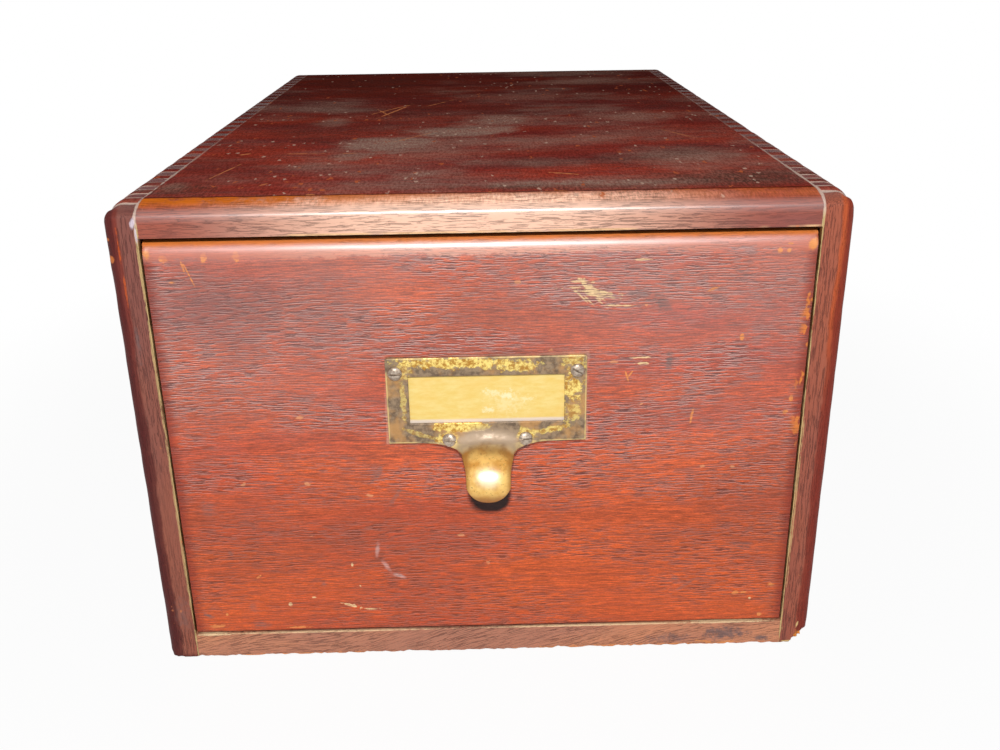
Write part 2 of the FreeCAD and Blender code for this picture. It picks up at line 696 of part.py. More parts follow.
brad = cutBrad("cut_brad")
panelBlank = block("back_panel_blank", panel_width, "back_panel_thickness", panel_height,
                   f"-{panel_width} / 2", panel_y, "case_wall - rabbet_width")
stopScrewMaster = slottedScrew("stop_screw_master", "stop_screw_radius",
                               "(stop_thickness + stop_play + stop_screw_grip)",
                               "stop_head_radius", "stop_head_height")
stopScrew = copies("stop_screw", stopScrewMaster,
                   [("0", stop_y, f"{stop_z} - stop_play", Rotation(Vector(1, 0, 0), 180))])
makeCase(panelBlank, makeBackBrads(brad), stopScrew)
makeStop()
holderScrews = makeHolderScrews()
makeDrawer(holderScrews)
makeHolder(holderScrews)
makeCard()
makeFollower(brad)
makeClamp()
doc.recompute()

nodes = [
    "left_side", "right_side", "top_board", "bottom_board", "back_panel", "back_brads",
    "stop_screw", "stop_button",
    "drawer_front", "drawer_left_side", "drawer_right_side", "drawer_back", "drawer_bottom",
    "label_holder", "holder_screws", "label_card",
    "follower_plate", "follower_foot", "foot_brads", "clamp_bolt", "clamp_shoe", "clamp_pad", "clamp_pin",
    "clamp_lever",
]
for item in doc.Objects:
    if "Invalid" in item.State or "Error" in item.State:
        raise RuntimeError(f"{item.Name} failed: {item.State}")
for name in nodes:
    shape = doc.getObject(name).Shape
    if shape.isNull() or not shape.isValid() or not shape.Solids:
        raise RuntimeError(f"{name} has no valid solid")

os.makedirs("parts", exist_ok=True)
for name in nodes:
    node = doc.getObject(name)
    node.Label = name
    node.Shape.exportStep(f"parts/{name}.step")
    print(f"{name}: {len(node.Shape.Solids)} solids, {node.Shape.Volume / 1000:.2f} cm3")
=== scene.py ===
import bpy
import math
import random
from types import SimpleNamespace
from mathutils import Euler, Matrix, Vector, noise


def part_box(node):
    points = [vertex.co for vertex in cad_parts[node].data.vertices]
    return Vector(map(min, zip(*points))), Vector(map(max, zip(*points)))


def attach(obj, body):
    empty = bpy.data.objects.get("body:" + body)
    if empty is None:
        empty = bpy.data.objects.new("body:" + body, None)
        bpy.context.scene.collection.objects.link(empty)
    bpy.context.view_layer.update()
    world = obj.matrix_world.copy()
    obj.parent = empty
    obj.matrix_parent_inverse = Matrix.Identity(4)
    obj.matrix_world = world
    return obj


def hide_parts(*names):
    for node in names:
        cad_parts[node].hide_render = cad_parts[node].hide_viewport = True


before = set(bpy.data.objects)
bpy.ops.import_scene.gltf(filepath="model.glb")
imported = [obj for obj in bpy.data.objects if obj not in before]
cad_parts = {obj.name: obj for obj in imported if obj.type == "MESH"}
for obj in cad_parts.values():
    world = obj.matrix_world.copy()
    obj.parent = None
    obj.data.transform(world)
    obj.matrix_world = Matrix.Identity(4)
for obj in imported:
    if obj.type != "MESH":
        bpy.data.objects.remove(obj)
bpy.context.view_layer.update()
print("frame loaded:", len(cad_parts), "nodes")

# the case, whose front faces -Y; sizes are in mm until a mesh or a socket takes them
mm = 0.001
case = dict(halfWidth=125.0, frontY=-193.675, rearY=193.675, top=179.3, wall=11.0, finger=6.35, fingers=61)


class Value:
    # an output of a shader tree, for which arithmetic and comparing add math nodes
    def __init__(self, socket):
        self.socket = socket

    def __rsub__(self, other):
        return maths("SUBTRACT", other, self)


for sign, operation in dict(add="ADD", sub="SUBTRACT", mul="MULTIPLY", truediv="DIVIDE", gt="GREATER_THAN",
                            lt="LESS_THAN", abs="ABSOLUTE", round="ROUND").items():
    setattr(Value, f"__{sign}__", lambda *values, operation=operation: maths(operation, *values))


def treeOf(*values):
    return next(value.socket.id_data for value in values if isinstance(value, Value))


def paint(value):
    # from 8-bit to linear
    return value / 255 / 12.92 if value < 10.3 else ((value / 255 + 0.055) / 1.055) ** 2.4


def wire(socket, value):
    # colours of three numbers are 8-bit ones
    if isinstance(value, Value):
        socket.id_data.links.new(value.socket, socket)
    elif socket.type == "RGBA" and len(value) == 3:
        socket.default_value = (*map(paint, value), 1.0)
    else:
        socket.default_value = value


def addNode(tree, kind, inputs, output=0, **settings):
    node = tree.nodes.new("ShaderNode" + kind)
    for key, value in settings.items():
        setattr(node, key, value)
    for key, value in inputs.items():
        wire(node.inputs[key], value)
    return Value(node.outputs[output]) if node.outputs else None


def maths(operation, *values):
    return addNode(treeOf(*values), "Math", dict(enumerate(values)), operation=operation)


def vectorMaths(operation, *values):
    inputs, output = dict(enumerate(values)), "Value" if operation == "LENGTH" else "Vector"
    return addNode(treeOf(*values), "VectorMath", inputs, output, operation=operation)


def folded(operation, values):
    total, *others = values
    for value in others:
        total = maths(operation, total, value)
    return total


def highest(*values):
    return folded("MAXIMUM", values)


def lowest(*values):
    return folded("MINIMUM", values)


def step(*values):
    # a smooth step: value, from low to high, then from one result to the other
    return addNode(treeOf(*values), "MapRange", dict(enumerate(values)), interpolation_type="SMOOTHSTEP")


def mixColour(amount, under, over, blend="MIX"):
    return addNode(treeOf(amount, under, over), "Mix", {0: amount, 6: under, 7: over}, 2,
                   data_type="RGBA", blend_type=blend)


def split(vector):
    node = addNode(treeOf(vector), "SeparateXYZ", {0: vector}).socket.node
    return [Value(socket) for socket in node.outputs]


def join(*values):
    return addNode(treeOf(*values), "CombineXYZ", dict(enumerate(values)))


def shaded(colour, share):
    return mixColour(1.0, colour, join(share, share, share), "MULTIPLY")


def noiseAt(place, stretch, detail=2.0, roughness=0.5, shift=None):
    # stretch is how many features there are to the metre, along each axis or one number for all
    if not isinstance(stretch, tuple):
        stretch = (stretch, stretch, stretch)
    moved = vectorMaths("MULTIPLY", place, stretch)
    if shift:
        moved = vectorMaths("ADD", moved, shift)
    texture = {"Vector": moved, "Scale": 1.0, "Detail": detail, "Roughness": roughness}
    return addNode(treeOf(moved), "TexNoise", texture)


def label(key):
    # lineAmount becomes Line Amount
    return "".join(" " + c if c.isupper() else c for c in key[0].upper() + key[1:]).strip()


def newGroup(name, inputs, outputs):
    # a number in inputs is where a plain value starts; the other sockets are named by their kind
    kinds = {"colour": "NodeSocketColor", "number": "NodeSocketFloat", "vector": "NodeSocketVector"}
    tree = bpy.data.node_groups.new(name, "ShaderNodeTree")
    for key, item in inputs.items():
        kind = item if isinstance(item, str) else "number"
        socket = tree.interface.new_socket(label(key), in_out="INPUT", socket_type=kinds[kind])
        if kind == "number":
            socket.default_value = item
    for key, kind in outputs.items():
        tree.interface.new_socket(label(key), in_out="OUTPUT", socket_type=kinds[kind])
    given = {key: Value(socket) for key, socket in zip(inputs, tree.nodes.new("NodeGroupInput").outputs)}
    ends = tree.nodes.new("NodeGroupOutput").inputs
    return tree, SimpleNamespace(**given), ends


def useGroup(group, **values):
    node = treeOf(*values.values()).nodes.new("ShaderNodeGroup")
    node.node_tree = group
    for key, value in values.items():
        wire(node.inputs[label(key)], value)
    return SimpleNamespace(**{socket.name.lower(): Value(socket) for socket in node.outputs})


def buildWoodFigure():
    # open-pored wood: Position runs X along the grain, Y across it, Z into the board
    tree, given, ends = newGroup("woodFigure", dict(
        position="vector", wander=0.004, ground="colour", warm="colour", dark="colour", pore="colour",
        shine="colour", lineAmount=0.5, fibreAmount=1.0, poreAmount=0.7, shineAmount=0.4),
        dict(color="colour", pores="number", height="number", tone="number"))
    place = given.position
    bend = (noiseAt(place, (7, 16, 16), 2) - 0.5) * given.wander
    along, across, deep = split(place)
    across = across + bend
    bent = join(along, across, deep)

    tone = step(noiseAt(bent, (8, 34, 34), 4, 0.55), 0.36, 0.64)
    colour = mixColour(tone, given.ground, given.warm)
    cloud = step(noiseAt(place, (14, 26, 26), 3, 0.55, (7, 3, 1)), 0.42, 0.72)
    colour = mixColour(cloud * 0.45, colour, given.dark)
    rings = step(noiseAt(bent, (12, 640, 640), 3, 0.65, (3, 0, 0)), 0.48, 0.68) * given.lineAmount
    colour = mixColour(rings, colour, given.dark)
    fibre = noiseAt(bent, (180, 3100, 3100), 3, 0.8)
    grit = noiseAt(place, (1300, 2000, 2000), 2, 0.7, (5, 1, 8))
    shade = step(fibre, 0.32, 0.68, 0.45, 1.6) * step(grit, 0.3, 0.7, 0.84, 1.18)
    colour = mixColour(given.fibreAmount, colour, join(shade, shade, shade), "MULTIPLY")

    # pores lie in bands, each with a glint along its upper lip
    crowd = step(noiseAt(bent, (16, 60, 60), 2, 0.5, (1, 5, 2)), 0.3, 0.62)
    poreNoise = noiseAt(bent, (130, 2700, 2700), 3, 0.6, (0, 4, 0))
    pores = step(poreNoise, 0.53, 0.59) * step(crowd, 0.0, 1.0, 0.35, 1.0)
    beside = join(along, across + 0.00022, deep)
    glintNoise = noiseAt(beside, (130, 2700, 2700), 3, 0.6, (0, 4, 0))
    glint = step(glintNoise, 0.52, 0.58) * crowd * (1.0 - pores)
    colour = mixColour(pores * given.poreAmount, colour, given.pore)
    wire(ends["Color"], mixColour(glint * given.shineAmount, colour, given.shine))
    wire(ends["Pores"], pores)
    wire(ends["Height"], fibre * 0.35 - pores - rings * 0.3)
    wire(ends["Tone"], tone)
    return tree


def buildArrisWear():
    # how near a point is to the edges of the box from Low to High, with a ragged border
    tree, given, ends = newGroup("arrisWear", dict(
        position="vector", low="vector", high="vector", width=0.003, ragged=0.003, grit=120.0),
        dict(mask="number"))
    below = vectorMaths("SUBTRACT", given.position, given.low)
    above = vectorMaths("SUBTRACT", given.high, given.position)
    inside = split(vectorMaths("MINIMUM", below, above))
    total = inside[0] + inside[1] + inside[2]
    second = total - lowest(*inside) - highest(*inside)
    grit = addNode(tree, "TexNoise", {"Vector": given.position, "Scale": given.grit, "Detail": 4.0,
                                      "Roughness": 0.65})
    wire(ends["Mask"], step(second + (grit - 0.5) * given.ragged, given.width, 0.0))
    return tree


def buildMarkSpot():
    # one mark: an oval patch with a torn border, turned about its centre
    tree, given, ends = newGroup("markSpot", dict(
        position="vector", centre="vector", reach="vector", turn="vector", ragged=0.5, grit=0.5,
        softness=0.3), dict(mask="number"))
    away = vectorMaths("SUBTRACT", given.position, given.centre)
    turned = addNode(tree, "VectorRotate", {"Vector": away, "Rotation": given.turn},
                     rotation_type="EULER_XYZ")
    scaled = vectorMaths("DIVIDE", turned, given.reach)
    torn = (given.grit - 0.5) * (given.ragged * 4.0)
    wire(ends["Mask"], step(vectorMaths("LENGTH", scaled) + torn, 1.0, 1.0 - given.softness))
    return tree


def buildFlecks():
    # scattered nicks: specks of the given size in their cells, kept to the share Amount
    tree, given, ends = newGroup("flecks", dict(position="vector", scale="vector", amount=0.1, size=0.25),
                                 dict(mask="number"))
    spread = vectorMaths("MULTIPLY", given.position, given.scale)
    cells = addNode(tree, "TexVoronoi", {"Vector": spread, "Scale": 1.0}, "Color", feature="F1")
    drawn = split(cells)[0] < given.amount
    grit = addNode(tree, "TexNoise", {"Vector": spread, "Scale": 4.0, "Detail": 2.0})
    size = given.size * step(grit, 0.35, 0.65, 0.4, 1.5)
    near = step(Value(cells.socket.node.outputs["Distance"]), size, size * 0.55)
    wire(ends["Mask"], drawn * near)
    return tree


def buildSeam():
    # a thin line where Offset is nought, broken up along its run
    tree, given, ends = newGroup("seamLine", dict(
        offset=0.0, halfWidth=0.0004, position="vector", broken=0.3), dict(mask="number"))
    grit = addNode(tree, "TexNoise", {"Vector": given.position, "Scale": 90.0, "Detail": 4.0,
                                      "Roughness": 0.6})
    width = given.halfWidth * step(grit, 0.3, 0.7, 0.5, 1.6)
    line = step(abs(given.offset), width, width * 0.4)
    wire(ends["Mask"], line * step(grit, given.broken - 0.05, given.broken + 0.05))
    return tree


woodFigure, arrisWear, markSpot = buildWoodFigure(), buildArrisWear(), buildMarkSpot()
flecks, seamLine = buildFlecks(), buildSeam()
print("shared effects built")


def newMaterial(name):
    material = bpy.data.materials.new(name)
    material.use_nodes = True
    tree = material.node_tree
    tree.nodes.clear()
    shader = tree.nodes.new("ShaderNodeBsdfPrincipled")
    addNode(tree, "OutputMaterial", {0: Value(shader.outputs[0])})
    return material, shader, addNode(tree, "TexCoord", {}, "Object")


def setShader(shader, height, depth, looks):
    # wires the looks and a bump of depth mm
    for key, value in looks.items():
        wire(shader.inputs[key], value)
    bump = {"Height": height, "Distance": depth * mm, "Strength": 1.0}
    wire(shader.inputs["Normal"], addNode(shader.id_data, "Bump", bump))


def grainAxes(place, along, shift=(0, 0, 0)):
    # swaps the axes so that X runs along the grain
    axes = split(place)
    order = {"x": (0, 2, 1), "y": (1, 0, 2), "z": (2, 1, 0), "xFlat": (0, 1, 2)}[along]
    return vectorMaths("ADD", join(*[axes[k] for k in order]), shift)


def onFront(rows, y=case["frontY"], thick=9):
    # rows of marks on a front face: x, z, two reaches, turn in degrees, raggedness, softness, strength
    return [((x, y, z), (wide, thick, high), (0, -turn, 0), *rest) for x, z, wide, high, turn, *rest in rows]


def onTop(rows, z=case["top"]):
    # the same on the top: x, y, two reaches and so on
    return [((x, y, z), (wide, deep, 9), (0, 0, turn), *rest) for x, y, wide, deep, turn, *rest in rows]


def spots(place, marks, grit=300.0):
    torn = noiseAt(place, grit, 3, 0.7)
    masks = []
    for centre, reach, turn, ragged, softness, strength in marks:
        spot = useGroup(markSpot, position=place, centre=[c * mm for c in centre],
                        reach=[r * mm for r in reach], turn=[math.radians(t) for t in turn], ragged=ragged,
                        grit=torn, softness=softness)
        masks.append(spot.mask * strength)
    return highest(*masks)


def woodMaterial(name, look):
    material, shader, place = newMaterial(name)
    laid = place
    if "tilt" in look:
        turn = {"Vector": place, "Angle": math.radians(look["tilt"])}
        laid = addNode(treeOf(place), "VectorRotate", turn, rotation_type="Y_AXIS")
    glints = step(split(place)[2], *look["glintRange"]) if "glintRange" in look else look["glints"]
    figure = useGroup(woodFigure, position=grainAxes(laid, look["along"], look.get("shift", (0, 0, 0))),
                      lineAmount=look["lines"], poreAmount=look["pores"], shineAmount=glints,
                      fibreAmount=look.get("fibre", 1.0),
                      **{key: look[key] for key in ("wander", "ground", "warm", "dark", "pore", "shine")})
    return material, shader, place, figure


def edgeWearAndShade(colour, place, box, width, ragged, grit, amount, tint):
    # wear along the edges of a box; on the drawer front's sides it is painted shade
    edge = useGroup(arrisWear, position=place, low=box[0], high=box[1], width=width * mm,
                    ragged=ragged * mm, grit=grit)
    return mixColour(edge.mask * amount, colour, tint)


def roughened(place, stretch, low, high):
    return step(noiseAt(place, stretch, 3, 0.6), 0.3, 0.7, low, high)


def besidePlate(x, z):
    # how far outside the card holder's plate a point lies
    return highest(abs(x - 0.0006) - 0.0353, abs(z - 0.1082) - 0.0163)


def marked(colour, place, tint, rows, grit=300.0):
    return mixColour(spots(place, rows, grit), colour, tint)


def frontWood():
    look = dict(along="x", wander=0.005, ground=(184, 68, 44), warm=(208, 88, 38),
                dark=(124, 56, 44), pore=(82, 38, 38), shine=(248, 202, 194), lines=0.5, pores=0.95,
                glintRange=(0.04, 0.13, 0.3, 0.95), veil=(176, 138, 132), veilTop=0.42, bare=(234, 148, 82),
                cream=(240, 208, 156), grey=(114, 104, 102), pullShadow=(28, 10, 8))
    material, shader, place, figure = woodMaterial("frontWood", look)
    x, y, z = split(place)
    # the lower half has kept more orange
    low = step(z + figure.tone * 0.03, 0.15, 0.03)
    colour = mixColour(low * 0.35, figure.color, (206, 96, 44))
    # milky bloom in the lacquer, partly a painted sheen, thicker towards the top
    bloomNoise = noiseAt(place, (12, 12, 30), 4, 0.6, (4, 4, 9))
    bloomAndSheen = step(z, 0.05, 0.17, 0.03, 1.0) * step(bloomNoise, 0.3, 0.7, 0.6, 1.2)
    colour = mixColour(bloomAndSheen * look["veilTop"], colour, look["veil"])
    # a dull corner, then grey bruises
    colour = marked(colour, place, (132, 90, 86), onFront([(-84, 144, 52, 24, 0, 0.5, 0.9, 0.55)]), 30.0)
    greys = spots(place, onFront([
        (62.2, 141.8, 5.4, 3.2, 40, 0.5, 0.7, 0.85), (55.5, 145.8, 7.5, 3.2, 8, 0.5, 0.8, 0.7),
        (64.9, 121.1, 2.0, 6.4, 0, 0.4, 0.7, 0.85), (87.8, 153.3, 5.0, 1.6, 30, 0.5, 0.8, 0.55),
        (-40.0, 79.0, 1.5, 5.0, 30, 0.45, 0.6, 0.6), (-34.0, 69.0, 1.2, 6.5, 32, 0.45, 0.6, 0.55),
        (-90.7, 22.8, 2.6, 2.8, 0, 0.5, 0.8, 0.5), (-87.9, 14.5, 4.0, 2.6, 0, 0.5, 0.8, 0.55),
        (-108.0, 19.5, 3.4, 1.2, 35, 0.4, 0.7, 0.8), (-96.5, 47.0, 1.8, 1.4, 0, 0.4, 0.8, 0.7),
        (-103.0, 66.0, 4.0, 5.0, 0, 0.6, 0.9, 0.4), (-62.8, 32.6, 1.5, 1.1, 0, 0.4, 0.8, 0.7),
        (71.6, 31.5, 2.0, 1.4, 0, 0.4, 0.8, 0.6), (75.0, 28.0, 8.5, 1.0, -38, 0.5, 0.8, 0.5),
        (96.0, 45.0, 8.0, 4.0, 0, 0.7, 0.9, 0.3)]))
    greys = greys * step(figure.height, -0.4, 0.25, 1.0, 0.55)
    colour = mixColour(greys, colour, look["grey"])
    # a painted shadow: near-black wood under the pull, where its shadow falls
    colour = marked(colour, place, look["pullShadow"], onFront([
        (1.4, 67.0, 7.6, 5.0, 0, 0.03, 0.22, 0.95), (1.0, 70.0, 8.4, 8.0, 0, 0.03, 0.22, 0.95)]))
    colour = marked(colour, place, (224, 190, 184), onFront([
        (-41.6, 47.0, 1.2, 4.6, 8, 0.3, 0.9, 0.5), (-38.6, 40.0, 1.3, 4.2, -32, 0.3, 0.9, 0.5),
        (-34.0, 35.6, 3.4, 1.2, 22, 0.3, 0.9, 0.6)]))
    # the pale and the bare marks only catch the ridges of the grain
    ridges = step(figure.height, -0.25, 0.12, 0.15, 1.0)
    creams = ridges * spots(place, onFront([
        (35.6, 148.6, 1.0, 5.2, -42, 0.8, 0.5, 0.95), (37.8, 147.3, 1.0, 6.2, -44, 0.8, 0.5, 0.8),
        (39.0, 146.8, 8.4, 1.0, 8, 0.9, 0.5, 0.9), (42.0, 145.2, 7.0, 0.8, 9, 0.9, 0.5, 0.9),
        (45.8, 141.9, 7.4, 0.32, 2, 0.7, 0.5, 0.85), (34.0, 150.6, 4.2, 0.5, 3, 0.8, 0.5, 0.7),
        (30.4, 148.6, 5.0, 0.5, -2, 0.8, 0.5, 0.7), (33.6, 145.4, 0.4, 4.6, -44, 0.7, 0.6, 0.8),
        (36.6, 143.4, 0.4, 4.2, -44, 0.7, 0.6, 0.7), (40.4, 143.0, 0.4, 4.0, -46, 0.7, 0.6, 0.65),
        (-53.9, 23.0, 4.2, 0.7, 18, 0.9, 0.4, 0.95), (-45.0, 20.8, 4.0, 0.35, 2, 0.9, 0.4, 0.8),
        (-76.3, 23.8, 0.9, 1.0, 0, 0.4, 0.4, 1.0), (-51.5, 40.7, 0.6, 1.0, 0, 0.4, 0.4, 0.9),
        (-66.9, 26.7, 1.1, 0.4, 0, 0.5, 0.4, 0.9), (-49.0, 31.4, 0.4, 0.9, -20, 0.5, 0.4, 0.9),
        (54.6, 122.6, 5.0, 0.4, 0, 0.8, 0.4, 0.9), (56.0, 120.4, 3.0, 0.5, 0, 0.8, 0.4, 0.9),
        (54.0, 158.0, 3.4, 0.5, 0, 0.6, 0.4, 0.8), (100.8, 21.6, 0.62, 0.62, 0, 0.05, 0.4, 1.0)]))
    colour = mixColour(creams, colour, look["cream"])
    oranges = ridges * spots(place, onFront([
        (89.8, 129.5, 1.0, 1.5, 0, 0.4, 0.4, 0.95), (100.4, 160.4, 1.2, 1.0, 30, 0.5, 0.4, 0.95),
        (103.5, 160.4, 0.9, 1.0, 0, 0.5, 0.4, 0.95), (78.7, 147.2, 2.2, 0.5, -20, 0.7, 0.5, 0.9),
        (73.9, 99.5, 0.6, 3.2, 8, 0.4, 0.4, 0.9), (50.0, 115.9, 0.5, 2.4, -18, 0.4, 0.4, 0.85),
        (51.2, 116.2, 0.4, 1.6, 35, 0.4, 0.4, 0.8), (-98.6, 155.6, 0.4, 4.6, -20, 0.5, 0.5, 0.9),
        (-100.4, 158.4, 0.5, 3.0, -12, 0.7, 0.5, 0.7), (-87.1, 36.3, 1.2, 0.5, -35, 0.5, 0.4, 0.9),
        (-100.9, 19.8, 0.6, 0.7, 0, 0.4, 0.4, 0.9), (94.8, 24.4, 1.6, 1.0, 0, 0.7, 0.5, 0.75),
        (98.4, 24.3, 1.3, 0.9, 0, 0.7, 0.5, 0.7), (109.0, 27.5, 1.6, 1.1, 0, 0.7, 0.5, 0.8),
        (105.1, 14.2, 1.2, 0.9, 0, 0.6, 0.5, 0.9), (109.2, 106.0, 0.9, 1.5, 0, 0.5, 0.4, 0.9),
        (107.5, 100.5, 1.2, 0.9, 0, 0.5, 0.4, 0.9), (-93.0, 161.5, 1.0, 2.4, 20, 0.6, 0.5, 0.9),
        (-82.5, 161.8, 1.3, 2.0, 0, 0.8, 0.5, 0.9), (-107.0, 161.0, 1.6, 1.6, 0, 0.7, 0.5, 0.9),
        (-104.5, 153.0, 1.6, 0.6, 0, 0.6, 0.5, 0.8), (-105.0, 14.6, 3.6, 0.9, 0, 0.9, 0.5, 0.9),
        (-74.0, 13.2, 5.0, 0.6, 0, 0.9, 0.5, 0.8)]))
    colour = mixColour(oranges, colour, look["bare"])
    # small nicks over the whole face
    nicks = useGroup(flecks, position=place, scale=(90, 40, 150), amount=0.13, size=0.12)
    colour = mixColour(nicks.mask * 0.75, colour, (230, 156, 110))
    # painted shade: darker along the side arrises, where the rolls turn away
    box = ((-0.1134, case["frontY"] * mm, -0.5), (0.1134, -0.174, 0.5))
    colour = edgeWearAndShade(colour, place, box, 5.0, 3.4, 160.0, 0.75, (134, 44, 28))
    # rubbed pale along the upper roll with a flaked border, mostly a painted highlight that is palest in the
    # middle; bare at the very top
    flaked = noiseAt(place, (130, 60, 220), 4, 0.75, (5, 5, 5)) - 0.5
    rubAndHighlightTone = mixColour(step(abs(x), 0.1, 0.02), (196, 98, 66), (238, 172, 146))
    colour = mixColour(step(z + flaked * 0.008, 0.1604, 0.1616) * 0.65, colour, rubAndHighlightTone)
    colour = mixColour(step(z + flaked * 0.002, 0.1645, 0.1661) * 0.9, colour, (238, 130, 44))
    # the pale line of old polish round the plate
    halo = step(besidePlate(x, z) + flaked * 0.002, 0.001, 0.0003) * step(bloomNoise, 0.4, 0.6, 0.1, 0.6)
    colour = mixColour(halo * (y < -0.19), colour, (226, 180, 156))
    # the top of the board, hidden in the gap, is painted dark as shade under the top rail
    gapShade = step(y + flaked * 0.003, -0.1892, -0.188) * step(z, 0.166, 0.1667, 0.0, 0.9)
    colour = mixColour(gapShade, colour, mixColour(figure.tone, (62, 28, 22), (88, 42, 28)))
    # the right arris and the upper corners are bare
    bare = step(x, 0.1085, 0.1125) * step(noiseAt(place, (150, 150, 90), 3, 0.7, (2, 2, 2)), 0.56, 0.62)
    colour = mixColour(bare * step(z, 0.075, 0.1) * 0.9, colour, (230, 134, 60))
    colour = marked(colour, place, (232, 140, 44), onFront([
        (111.6, 162.4, 1.9, 2.8, 12, 0.35, 0.5, 0.95), (-112.0, 162.8, 1.6, 2.0, -12, 0.35, 0.5, 0.8),
        (104.0, 162.6, 1.4, 0.5, 0, 0.4, 0.5, 0.7)], -192.5))
    # shadowy lower arris, just over the bottom board
    colour = mixColour(step(z, 0.0125, 0.0117, 0.0, 0.85), colour, (74, 28, 20))
    setShader(shader, figure.height - highest(creams, oranges) * 0.6, 0.12, {
        "Base Color": colour, "Roughness": roughened(place, (30, 30, 60), 0.45, 0.6) + figure.pores * 0.15,
        "Specular IOR Level": 0.22, "Coat Weight": step(z, 0.1585, 0.1625, 0.08, 1.0), "Coat Roughness": 0.38,
        "Coat IOR": 2.0})
    return material


def dustyTop(colour, place, look):
    # dust, grime, scratches and flecks on the face that looks up, with painted light that falls off towards
    # the back; also gives how thick the dust is
    x, y, z = split(place)
    flatPlace = vectorMaths("MULTIPLY", place, (1, 1, 0))
    lanes = noiseAt(flatPlace, (9, 17, 1), 5, 0.62, (3, 1, 0))
    fine = noiseAt(flatPlace, (120, 700, 1), 3, 0.6)
    veil = step(lanes, 0.46, 0.68) * step(fine, 0.3, 0.7, 0.55, 1.1) * 0.6
    veil = highest(veil, spots(place, look["smears"], 60.0) * step(fine, 0.3, 0.7, 0.6, 1.1))
    up = step(z, 0.1768, 0.1788)
    upBehind = up * step(y, -0.1822, -0.1802)
    # painted light: brighter near the front, darker towards the back
    colour = mixColour(up, colour, shaded(colour, step(y, -0.18, 0.16, 1.34, 0.58)))
    sand = step(noiseAt(flatPlace, (1100, 260, 1), 3, 0.75, (9, 2, 1)), 0.32, 0.68, 0.7, 1.35)
    colour = mixColour(up, colour, shaded(colour, sand))
    veil = veil * upBehind * step(sand, 0.7, 1.35, 0.55, 1.25)
    colour = mixColour(veil * look["dust"], colour, (172, 142, 126))
    colour = mixColour(step(lanes, 0.48, 0.34) * upBehind * 0.3, colour, (64, 40, 36))
    dirt = spots(place, onTop([
        (94, -166, 50, 26, 0, 0.25, 0.9, 0.8), (-104, -168, 22, 16, 0, 0.3, 0.9, 0.6),
        (20, -176, 60, 8, 0, 0.3, 0.9, 0.5)]), 60.0)
    colour = mixColour(dirt * step(sand, 0.7, 1.35, 1.0, 0.45) * upBehind, colour, (70, 54, 46))
    colour = mixColour(spots(place, look["scratches"], 260.0) * up, colour, (222, 136, 86))
    crowd = step(noiseAt(flatPlace, (22, 18, 1), 3, 0.6, (5, 5, 1)), 0.42, 0.66, 0.04, 0.6)
    specks = useGroup(flecks, position=flatPlace, scale=(250, 110, 1), amount=crowd, size=0.2)
    colour = mixColour(specks.mask * up * 0.7, colour, (226, 190, 168))
    moved = vectorMaths("ADD", flatPlace, (0.3, 0.7, 0))
    chips = useGroup(flecks, position=moved, scale=(200, 90, 1), amount=crowd * 0.8, size=0.22)
    return mixColour(chips.mask * up * 0.8, colour, (206, 104, 62)), veil


def rolledFront(colour, place, bareTone):
    # the front top edge is rubbed through to the bare wood where the roll begins
    x, y, z = split(place)
    depth = y + (noiseAt(place, (120, 120, 40), 4, 0.7, (1, 7, 3)) - 0.5) * 0.0026
    inner = abs(x) < 0.1137
    burnt = step(depth, -0.1806, -0.1818) * step(depth, -0.1834, -0.1824) * inner * 0.75
    colour = mixColour(burnt, colour, (70, 26, 16))
    band = step(depth, -0.1822, -0.183) * step(depth, -0.1922, -0.1866) * inner
    patch = step(noiseAt(place, (70, 70, 70), 4, 0.75), 0.36, 0.58, 0.15, 1.0)
    return mixColour(band * patch * step(x, 0.02, -0.09, 0.3, 1.0), colour, bareTone)


def glueLines(place, tone):
    # glue between the boards and round the fingers, less and less towards the back
    x, y, z = split(place)
    outward = abs(x)
    seam = useGroup(seamLine, offset=outward - 0.1141, halfWidth=step(z, 0.16, 0.168, 0.00032, 0.0006),
                    position=place, broken=0.4).mask
    skin = highest(y < -0.193, z > 0.1785, (z > 0.172) * (y < -0.178))
    seam = seam * skin * step(y, -0.18, -0.06, 1.0, 0.22)
    phase = (y - case["frontY"] * mm) / (case["finger"] * mm)
    joints = useGroup(seamLine, offset=(phase - round(phase)) * (case["finger"] * mm),
                      halfWidth=step(y, -0.15, -0.18, 0.0005, 0.0009), position=place, broken=0.36).mask
    corner = highest(z > 0.1681, z < 0.0112) * (outward > 0.1139)
    joints = joints * corner * (y > -0.1905) * step(y + tone * 0.03, -0.165, -0.04, 1.0, 0.1)
    sideSeam = useGroup(seamLine, offset=z - 0.1683, halfWidth=0.0003, position=place, broken=0.45).mask
    return highest(seam, joints, sideSeam * (outward > 0.12) * (y > -0.187))


def bareMouth(colour, place):
    # bare wood on the inner arris of the sides, seen through the gap beside the drawer
    x, y, z = split(place)
    mouth = (abs(x) < 0.11405) * (z > 0.0112) * (z < 0.1682) * step(y, -0.176, -0.186)
    bare = step(noiseAt(place, (200, 200, 70), 4, 0.7, (8, 1, 2)), 0.38, 0.62) * step(y, -0.1918, -0.1928)
    inside = mixColour(step(y, -0.1896, -0.1922), (110, 46, 30), (136, 96, 54))
    return mixColour(mouth, colour, mixColour(bare, inside, (226, 194, 140)))


